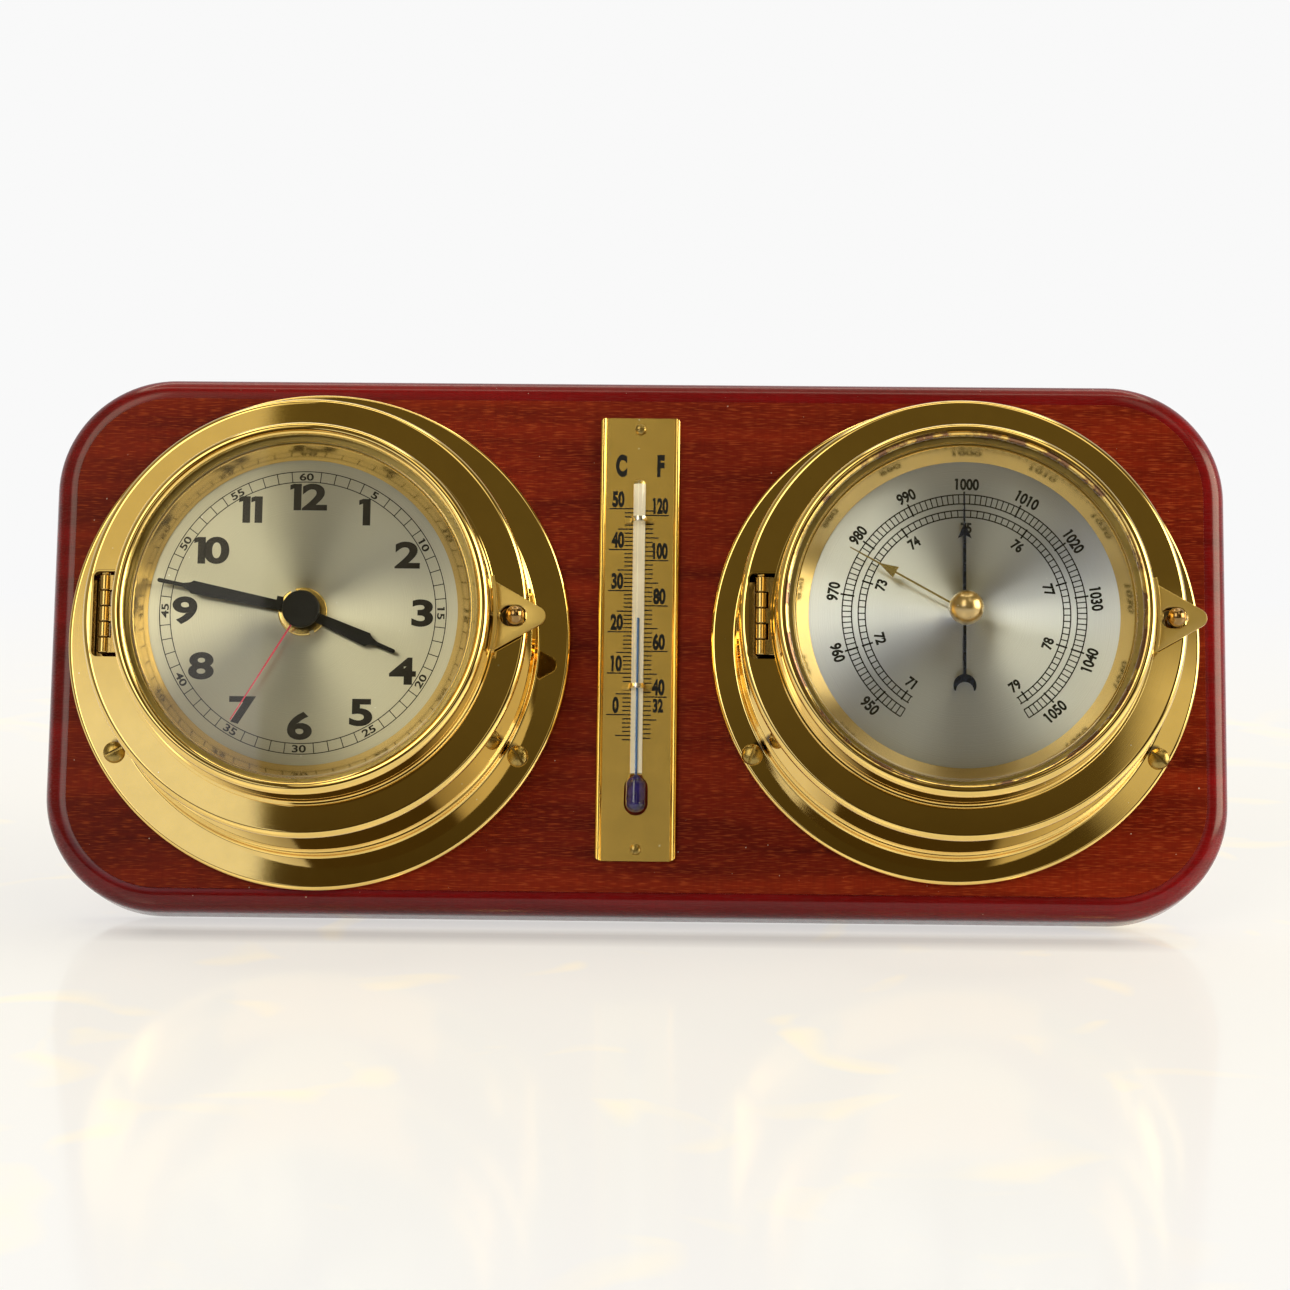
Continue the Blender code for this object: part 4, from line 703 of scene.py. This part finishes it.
# Dial rings: a flared brass ring stands on each dial under the door's glass and hides the dial's edge. Its
# inner face is left with the marks of the turning tool.
for prefix, axis in axes.items():
    profile = mm(44.45, 43.8, 47.9, 50.52, 48.1, 50.7, 49.2, 50.7, 49.2, 43.8, 44.45, 43.8)
    ring = lathe(prefix + "_flared_ring", on_board(axis), profile)
    dress(ring, [brass_finish(prefix + "_ring_brass", axis, (0.9, 0.6, 0.17), 0.16, 0.15, 0, False)],
        prefix + "_dial_ring")

# Centre nut: a round brass nut with two spanner notches, which clamps the movement to the clock's dial.
profile = mm(3.75, 43.8, 7.1, 43.8, 7.1, 44.7, 6.9, 45.1, 6.5, 45.3, 4.2, 45.3, 3.75, 45, 3.75, 43.8)
nut = lathe("dial_nut", on_board(clock_axis), profile, 96)
for turn in (-25, 155):
    notch = sawn_block("notch", (-0.0007, board_front - 0.047, 0.0062), (0.0007, board_front - 0.043, 0.009))
    notch.matrix_world = Matrix.Translation((clock_axis[0], 0, clock_axis[1])) @ turned(turn)
    cut_away(nut, settle(notch))
dress(settle(nut), [brass_finish("nut_brass", clock_axis, (0.8, 0.55, 0.16), 0.2, 0.3, 0.33)], "clock_centre_nut")

# Clock hands: hour and minute hands stamped from steel and enamelled matt black, a crimson second hand, and
# the black cap that carries it. Each pipe turns in the next one out.
enamel_black = plastic_finish("matt_black_enamel", (0.009, 0.009, 0.009), 0.42, 1500, 0.2)
for hand in ("hour_hand", "minute_hand"):
    ease("clock_" + hand, 0.00008, enamel_black, hand)


def stamp_sheet(name, outlines, axis, bottom, top, edge, turn=0):
    """Sheet piece from outlines, the later ones its holes."""
    curve = bpy.data.curves.new(name, "CURVE")
    curve.dimensions, curve.fill_mode = "2D", "BOTH"
    for outline in outlines:
        line = curve.splines.new("POLY")
        line.points.add(len(outline) - 1)
        for point, (x, y) in zip(line.points, outline):
            point.co = (x, y, 0, 1)
        line.use_cyclic_u = True
    curve.extrude, curve.offset = (top - bottom) / 2 - edge, -edge
    curve.bevel_depth, curve.bevel_resolution = edge, 1
    blank = bpy.data.objects.new(name, curve)
    bpy.context.scene.collection.objects.link(blank)
    pick(blank)
    bpy.ops.object.convert(target="MESH")
    stamped = stand_on_front(take(name), axis[0], axis[1], (bottom + top) / 2, turn)
    edit()
    bpy.ops.mesh.remove_doubles(threshold=0.000001)
    bpy.ops.mesh.normals_make_consistent(inside=False)
    end_edit()
    return stamped


needle_line = mm(0.28, 0, 0.16, 37.3, 0.08, 37.5, -0.08, 37.5, -0.16, 37.3, -0.28, 0)
needle = stamp_sheet("needle", [needle_line], clock_axis, 0.0504, 0.0507, 0.00004, 211)
profile = mm(0.65, 40.3, 0.65, 50.4, 5.2, 50.4, 5.4, 50.6, 5.4, 51.5)
profile += arc((0.0048, 0.0515), 0.0006, 15, 90, 5) + mm(3, 52.06, 0, 52.02)
cap = lathe("cap", on_board(clock_axis), profile, 96)
cap.data.materials.append(enamel_black)
needle.data.materials.append(plastic_finish("crimson_enamel", (0.62, 0.045, 0.1), 0.35, 1500))
dress(join_up("second_hand", [cap, needle]), (), "clock_second_hand", "second_hand")

# Aneroid movement: behind the barometer's dial, a brass frame on three pillars carries the corrugated
# nickel-silver capsule, its steel C spring and the rocking shaft that its lift turns.
spring_steel = steel_finish("blued_spring_steel", (0.3, 0.32, 0.36), 0.3)
ease("aneroid_frame", 0.00015, brass_finish("movement_brass", barometer_axis, (0.8, 0.56, 0.2), 0.25, 0.3, 0.3))
ease("aneroid_mainspring", 0.00015, spring_steel)
ease("aneroid_rocker", 0.0001, spring_steel, "rocker")
waves = [(0.003 + 0.0005 * step, 0.0006 * (1 - cos(tau * step / 11))) for step in range(45)]
profile = mm(3, 15.8) + [(radius, 0.0193 + wave) for radius, wave in waves]
profile += arc((0.0242, 0.0203), 0.0008, -60, 0, 3) + arc((0.0242, 0.0263), 0.0008, 0, 60, 3)
profile += [(radius, 0.0273 - wave) for radius, wave in reversed(waves)] + mm(3, 30.6, 2.8, 30.8, 0, 30.8)
nickel = brass_finish("nickel_silver", barometer_axis, (0.66, 0.63, 0.56), 0.25, 0.3, 0.25)
dress(lathe("capsule", on_board(barometer_axis), profile, 96), [nickel], "aneroid_capsule")

# Barometer pointer: a blued steel spear with a crescent counterweight, pressed on the arbor of the movement.
ease("barometer_pointer", 0.00006, steel_finish("blued_steel", (0.035, 0.042, 0.07), 0.28, 900),
    "pointer")

# Doors: a turned brass bezel with a round bead, a fine groove and a lip that holds a bevelled flat glass. A
# spring ring keeps the glass in. The barometer's lip has lost its lacquer and gone brown.
pane_back, pane_front = 0.0526, 0.0546


def any_ray(*kinds):
    """One for rays of the named kinds."""
    rays = put("LightPath").outputs
    found = 0
    for kind in kinds:
        found = maths("MAXIMUM", found, rays[f"Is {kind} Ray"])
    return found


def blend(share, first, second):
    """Shader between two shaders."""
    return put("MixShader", share, first, second).outputs[0]


def glass_finish(name):
    """Clear glass that lets lamps light what is behind it."""
    material, shader, place = start_finish(name, Transmission_Weight=1, IOR=1.5, Roughness=0)
    feed(shader, Base_Color=mixed(noise(place, 70, 3), (0.96, 0.98, 0.975), (1, 1, 1)))
    clear = put("BsdfTransparent", Color=(0.97, 0.98, 0.975, 1)).outputs[0]
    passing = any_ray("Shadow", "Glossy", "Diffuse")
    feed(tree.nodes["Material Output"], Surface=blend(passing, shader.outputs[0], clear))
    return material


door_glass = glass_finish("bevelled_glass")
for prefix, axis in axes.items():
    body = prefix + "_door"
    profile = mm(51.5, 42.3, 55.1, 42.3, 55.25, 42.45, 55.25, 43.05, 55.1, 43.2, 54.55, 43.2, 54.35, 43.4, 54, 53.6,
        53.9, 55.15)
    profile += arc((0.05205, 0.05515), 0.00185, 8, 110, 12)
    profile += mm(51.36, 56.2, 51.18, 56.2, 51.13, 56.48, 50.98, 56.52, 50.7, 56.36, 50.4, 56, 50.22, 55.5, 50.2, 55,
        50.2, 54.2, 51.5, 54.2, 51.5, 42.3)
    bezel = lathe(prefix + "_door_bezel", on_board(axis), profile)
    finish = brass_finish(prefix + "_bezel_brass", axis, worn_lip=prefix == "barometer")
    dress(bezel, [finish], prefix + "_bezel", body)
    profile = mm(48.6, 51.2, 51.2, 51.2, 51.2, 52.3, 48.8, 52.3, 48.6, 52.1, 48.6, 51.2)
    dress(lathe(prefix + "_spring_ring", on_board(axis), profile), [old_brass], prefix + "_glass_retainer",
        body)
    profile = [(0.0512, pane_back)] + mm(51.2, 53.8, 51.1, 53.9, 50.2, 53.9) + [(0.0484, pane_front)]
    if prefix == "clock":
        profile += [(0.02, pane_front), (0, pane_front)]
    else:
        profile = [(0.0019, pane_back)] + profile + [(0.0019, pane_front), (0.0019, pane_back)]
    pane = lathe(prefix + "_pane", on_board(axis), profile)
    dress(settle(pane, 12), [door_glass], prefix + "_glass", body)

# Hinges: five rolled knuckles on a brass pin at nine o'clock, sunk in the slot of the case face. Three are
# on the leaf riveted under the bezel and two on the leaf bent down into the case. All of it is aged.
aged_brass = brass_finish("aged_hinge_brass", clock_axis, (0.52, 0.35, 0.1), 0.2, 0.1, 0.4, False)
hinge_height = 0.041
knuckle_length = 0.00428
knuckle_pitch = 0.00458
leaf_length = 0.0226
for prefix, axis in axes.items():
    pin_foot = Vector((axis[0] - 0.058, board_front - hinge_height, axis[1] - 0.0113))

    def leaf_block(left, right, front, back, low, tall, edge=0):
        """Block of a leaf, placed from the pin's foot."""
        return sawn_block("leaf", pin_foot + Vector((left, front, low)), pin_foot + Vector((right, back, low + tall)),
            edge, 1)

    leaves = {"bezel": [], "case": []}
    for index in range(5):
        side = "case" if index % 2 else "bezel"
        start = index * knuckle_pitch
        profile = mm(1.6, 0, 1.8, 0.2, 1.8, 4.08, 1.6, 4.28, 1.1, 4.28, 1.1, 0, 1.6, 0)
        leaves[side].append(lathe("knuckle", pin_foot + Vector((0, 0, start)), profile, 40, (0, 0, 1)))
        strap = (0.0012, 0.0024, -0.001, 0) if side == "bezel" else (-0.001, 0, 0.0012, 0.0024)
        leaves[side].append(leaf_block(*strap, start, knuckle_length))
    leaves["bezel"].append(leaf_block(0.0022, 0.0071, -0.001, 0, 0, leaf_length, 0.0001))
    leaves["case"].append(leaf_block(-0.001, 0, 0.0022, 0.011, 0, leaf_length, 0.0001))
    leaves["case"].append(leaf_block(-0.0038, -0.0005, 0.007, 0.011, 0, leaf_length))
    for side, pieces in leaves.items():
        body = prefix + "_door" if side == "bezel" else "board"
        dress(join_up(f"{prefix}_{side}_leaf", pieces), [aged_brass], f"{prefix}_hinge_leaf_{side}",
            body)
    profile = mm(0.8, 0, 0.8, 22.9, 1.3, 22.9, 1.4, 23.1, 1.3, 23.4, 0.8, 23.5, 0, 23.5)
    pin = lathe(prefix + "_pin", pin_foot, profile, 32, (0, 0, 1))
    dress(pin, [aged_brass], prefix + "_hinge_pin")

# Catches: at three o'clock a pointed brass tab, bent up against the bezel and held by one screw, snaps over
# a ball stud that is riveted to the case.
stud_brass = brass_finish("dark_stud_brass", clock_axis, (0.3, 0.17, 0.045), 0.18, 0.1, 0.36, False)
# Painted shade: the tab's underside gets a near-black brass, so that it and its reflection in the case face read as
# shaded.
tab_back = brass_finish("shade_darkened_tab_back", clock_axis, (0.13, 0.115, 0.065), 0.36, 0.05, 0.4, False, 0.1)
bezel_reach = 0.05465
tab_half_angle = 11.27
for prefix, axis in axes.items():
    rim = arc((0, 0), bezel_reach, -tab_half_angle, tab_half_angle, 16)
    tip = arc((0.06665, 0), 0.0028, 55, -55, 12)
    eye = arc((0.06095, 0), 0.00305, -90, 90, 14) + arc((0.05925, 0), 0.00305, 90, 270, 14)
    tab = stamp_sheet("tab", [rim + tip, eye], axis, 0.0435, 0.0447, 0.0002)
    outer_rim = arc((0, 0), bezel_reach + sheet, tab_half_angle, -tab_half_angle, 16)
    tab = join_up(prefix + "_tab", [tab, stamp_sheet("wall", [rim + outer_rim], axis, 0.0436, 0.0493, 0.0002)])
    tab_front = brass_finish(prefix + "_tab_brass", axis, (0.88, 0.62, 0.18), 0.29, 0.03, 0.26)
    dress(tab, (tab_front, tab_back), prefix + "_catch_tab", prefix + "_door")
    # Faces turned to the board take the painted-shade underside.
    for face in tab.data.polygons:
        face.material_index = 1 if face.normal.y > 0.5 and face.center.x > axis[0] + 0.056 else 0
    seat = on_board(axis, 0.047) + Vector((0.05615, 0, 0))
    screw = slotted_head(prefix + "_tab_screw_head", seat, (1, 0, 0), 0.0012, 0.0007, 0.0006, 0.0034, 0.0003, 30)
    dress(screw, [old_brass], prefix + "_tab_screw", prefix + "_door")
    profile = mm(1.3, 39.3, 1.3, 42.3, 2.3, 42.3, 2.3, 42.9, 1.4, 43, 1.4, 43.3)
    profile += arc((0, 0.0457), 0.00275, -58, 86, 16) + mm(0, 48.45)
    stud = lathe(prefix + "_stud", on_board((axis[0] + 0.0607, axis[1])), profile, 48)
    dress(stud, [stud_brass], prefix + "_catch_stud")

# Marker: a thin brass hand under the barometer's glass, set by a domed knob over it. One shaft joins them
# through the pane. Fingers have worn the knob's lacquer off and it has gone brown.
knob_brass = brass_finish("worn_knob_brass", barometer_axis, (0.52, 0.37, 0.15), 0.3, 0.1, 0.36)
ease("barometer_marker_hand", 0.00006, brass_finish("marker_brass", barometer_axis, (0.62, 0.47, 0.17), 0.25, 0.1,
    0.35), "marker")
profile = mm(1.6, 51.3, 1.6, 54.9, 3.4, 54.9, 3.4, 56.4, 3.7, 56.7, 4.8, 56.7, 5, 57, 5, 57.7)
profile += arc((0, 0.0577), 0.005, 8, 80, 9) + mm(0, 62.7)
dress(lathe("marker_knob", on_board(barometer_axis), profile, 96), [knob_brass], "barometer_marker_knob",
    "marker")

# Thermometer: a gilt plate pressed with a bead down each side and printed with two scales. A glass tube with
# a white enamel back and a bulb of blue spirit is held on it by two wire clips, and it has two brass nails.
scale_x, scale_z = 0.0004, 0.00175
plate_face = 0.0015
celsius_zero, celsius_step = -0.0233, 0.00125
fahrenheit_120, fahrenheit_step = 0.0372, 0.000689
stroke_width = 0.00036
gilt = brass_finish("gilt_plate", (scale_x, 0), (0.76, 0.52, 0.13), 0.25, 0, 0, True, 0.3)
ease("thermometer_plate", 0.00012, gilt, degrees=50)
printed = []


def print_stroke(start, end, up):
    """Printed level stroke between two places across the plate."""
    face_y, level = board_front - plate_face, scale_z + up
    printed.append(sawn_block("stroke", (scale_x + start, face_y - 0.00006, level - stroke_width / 2),
        (scale_x + end, face_y + 0.00002, level + stroke_width / 2)))


def print_label(words, across, up, size=0.0062, weight=0.0003, stretch=0.58):
    """Printed figure or letter on the plate."""
    printed.append(print_words(words, scale_x + across, scale_z + up, plate_face + 0.00003, size, 0, weight, stretch))


for degrees in range(-6, 51):
    reach = 0.0091 if degrees % 10 == 0 else 0.0064 if degrees % 5 == 0 else 0.0044
    print_stroke(-reach, -0.0012, celsius_zero + celsius_step * degrees)
for degrees in range(22, 124, 2):
    reach = 0.0088 if degrees % 20 == 0 else 0.0058 if degrees % 10 == 0 else 0.0041
    print_stroke(0.0012, reach, fahrenheit_120 - fahrenheit_step * (120 - degrees))
for degrees in range(0, 51, 10):
    print_label(str(degrees), -0.0064, celsius_zero + celsius_step * degrees + 0.0029)
for degrees in (32, 40, 60, 80, 100, 120):
    look = (0.0053, 0.00025) if degrees == 32 else (0.0062, 0.0003)
    print_label(str(degrees), 0.0062, fahrenheit_120 - fahrenheit_step * (120 - degrees) + 0.0029, *look,
        0.52 if degrees > 99 else 0.58)
for word, across in (("C", -0.0056), ("F", 0.0062)):
    print_label(word, across, 0.0524, 0.0085, 0.0005, 0.54)
dress(join_up("thermometer_figures", printed), [black_ink])

tube_axis = Vector((scale_x, board_front - 0.0039, scale_z))
profile = mm(0.6, 47.5, 1.2, 47.4, 1.6, 47.1, 1.8, 46.5, 1.8, -41.6, 2, -42.2, 2.6, -43.2, 2.9, -44.4, 2.9,
    -50.2) + arc((0.0003, -0.0502), 0.0026, -12, -90, 8)
tube = lathe("tube", tube_axis, profile + mm(0, -52.8), 48, (0, 0, 1))
tube.data.materials.append(door_glass)
strip = sawn_block("strip", tube_axis + Vector((-0.00125, 0.0003, -0.0412)),
    tube_axis + Vector((0.00125, 0.0011, 0.0463)), 0.00015)
strip.data.materials.append(plastic_finish("white_enamel", (0.93, 0.87, 0.76), 0.4, 900))
dress(join_up("glass_tube", [tube, strip]), (), "thermometer_tube")
profile = mm(0.24, 5.4, 0.24, -41.9, 1.2, -43, 2.4, -44.5, 2.4, -50)
profile += arc((0.0004, -0.05), 0.002, -10, -90, 6) + mm(0, -52)
spirit = lathe("blue_spirit", tube_axis, profile, 40, (0, 0, 1))
spirit_blue, shader, place = start_finish("dyed_spirit", Roughness=0.15, IOR=1.36, Specular_IOR_Level=0.25)
share = spread(put("SeparateXYZ", place).outputs[2], scale_z - 0.0425, scale_z - 0.0395)
swirl = spread(noise(place, 300, 3, Distortion=1.5), 0.4, 0.7)
pool = mixed(swirl, (0.006, 0.003, 0.06), (0.03, 0.018, 0.2))
feed(shader, Base_Color=mixed(share, pool, (0.07, 0.19, 0.5)))
dress(spirit, [spirit_blue], "thermometer_spirit")

nickel_wire = steel_finish("bright_clip_wire", (0.8, 0.77, 0.7), 0.22)
for number in (1, 2):
    node = f"thermometer_clip_{number}"
    clip = eased_copy(node, 0.00006, 50)
    middle = Matrix.Translation((0, 0, middle_of(node)[2]))
    clip.data.transform(middle @ Matrix.Diagonal((1, 1, 0.5, 1)) @ middle.inverted())
    dress(clip, (nickel_wire, gilt), node)
    for face in clip.data.polygons:
        face.material_index = 1 if abs(face.center.x - scale_x) > 0.0022 else 0
    node = f"thermometer_nail_{number}"
    across, _, up = middle_of(node)
    nail = slotted_head(f"nail_{number}", on_board((across, up), plate_face + 0.0003), (0, -1, 0), 0.0016, 0.0009,
        0.0006, 0.0097, 0.0003, 40 + 60 * number)
    dress(nail, [old_brass], node)

# Studio: a white table, which the object leans back on, with a contact shadow, a weak reflection and, near the object,
# a painted warm reflection with glowing gold spots. A large soft lamp stands at the left, a smaller one at the right,
# and the room is dark. Only the camera sees the white paper behind.
table_tilt = radians(20)
paper_white = (0.947, 0.947, 0.947, 1)
bpy.ops.mesh.primitive_plane_add(size=40, location=(0, 0, board_low.z), rotation=(table_tilt, 0, 0))
table = settle(take("table_top"))
material = start_finish("white_table")[0]
tree.nodes.clear()
place = put("TexCoord").outputs["Object"]
spot = put("SeparateXYZ", place).outputs
lit = put("BsdfDiffuse", Color=(0.85, 0.85, 0.85, 1)).outputs[0]
near = spread(vectors("LENGTH", vectors("MULTIPLY", place, (0.7, 1, 1))), 0.22, 0.62, 1, 0)
# Painted reflection: near the object the table glows warm, with brighter gold spots from a noise, in place of the brass
# and wood reflected in it.
painted_glow_spots = spread(noise(place, 24, 1.5, Distortion=0.8), 0.6, 0.8)
painted_warm_reflection = mixed(maths("MULTIPLY", painted_glow_spots, near), (1, 0.985, 0.965), (1.25, 1.1, 0.8))
painted_warm_reflection = put("Emission", Color=painted_warm_reflection, Strength=1.1).outputs[0]
contact = spread(maths("SUBTRACT", spot[1], board_front - 0.001), -0.01, 0)
for limit in (spread(maths("ABSOLUTE", spot[0]), 0.14, 0.17, 0.26, 0), spread(spot[1], board_front + 0.002,
        board_front + 0.008, 1, 0)):
    contact = maths("MULTIPLY", contact, limit)
gloss = put("BsdfGlossy", Color=(1, 1, 1, 1), Roughness=0.1).outputs[0]
close = blend(maths("ADD", contact, 0.11), blend(0.62, lit, painted_warm_reflection), gloss)
far = put("Emission", Color=paper_white, Strength=1).outputs[0]
whole = blend(any_ray("Camera", "Glossy", "Transmission"), lit, blend(near, far, close))
under = put("NewGeometry").outputs["Backfacing"]
put("OutputMaterial", Surface=blend(under, whole, put("BsdfTransparent").outputs[0]))
table.data.materials.append(material)

world = bpy.data.worlds.new("studio_light")
bpy.context.scene.world = world
world.use_nodes = True
tree = world.node_tree
tree.nodes.clear()
aim = put("SeparateXYZ", put("TexCoord").outputs["Generated"]).outputs
azimuth = maths("ARCTAN2", aim[0], maths("MULTIPLY", aim[1], -1))
elevation = maths("ARCSINE", aim[2])


def glow_patch(radiance, left, right, low, high, soft_left=3, soft_right=3, soft_low=4, soft_high=4):
    """Soft lamp that covers a window of directions, in degrees."""
    glow = radiance
    for aimed, start, soft, fade in ((azimuth, left, soft_left, (0, 1)), (azimuth, right, soft_right, (1, 0)),
            (elevation, low, soft_low, (0, 1)), (elevation, high, soft_high, (1, 0))):
        glow = maths("MULTIPLY", spread(aimed, radians(start - soft), radians(start + soft), *fade), glow)
    return glow


lamps = 0
for patch in ((0.6, -34, -7.12, -6, 46, 6, 0.06), (2.6, -32, -11.3, 3, 36, 3, 0.8, 2, 4),
        (0.22, -120, -34, -6, 50, 8, 6), (0.62, 6.35, 16, -6, 10.2, 0.4, 3, 4, 0.8), (7, 50, 94, -5, 34, 4, 4),
        (0.4, -180, 180, 62, 90, 3, 3, 6, 1), (3.5, -180, 180, 66, 71, 3, 3, 1.5, 1.5), (1.3, 12, 34, 28, 52, 3, 3)):
    lamps = maths("ADD", lamps, glow_patch(*patch))
sill = glow_patch(0.72, -34, -7.12, -6, 10, 6, 0.06, 4, 1.4)
room = mixed(spread(elevation, radians(6.3), radians(9.5)), (0.066, 0.046, 0.015), (0.12, 0.092, 0.036))
room = mixed(spread(aim[1], 0, 0.35), room, (0.62, 0.62, 0.62))
studio = put("Emission", Color=room, Strength=1).outputs[0]
for colour, strength in (((1, 0.93, 0.72, 1), lamps), ((0.38, 0.5, 0.9, 1), sill)):
    studio = put("AddShader", studio, put("Emission", Color=colour, Strength=strength).outputs[0]).outputs[0]
paper = put("Emission", Color=paper_white, Strength=1).outputs[0]
put("OutputWorld", Surface=blend(any_ray("Camera"), studio, paper))

camera_data = bpy.data.cameras.new("view_of_the_front")
camera_data.lens = 106.06
camera_data.sensor_width = 36
camera = bpy.data.objects.new("view_of_the_front", camera_data)
bpy.context.scene.collection.objects.link(camera)
forward = Vector((-0.02196, 0.98413, 0.17607)).normalized()
side = forward.cross(Vector((-0.00923, -0.17631, 0.98429))).normalized()
turn = Matrix((side, side.cross(forward), -forward)).transposed().to_4x4()
camera.matrix_world = Matrix.Translation((0.02737, -1.133, -0.1997)) @ turn
bpy.context.scene.camera = camera
bpy.context.scene.view_settings.view_transform = "Standard"
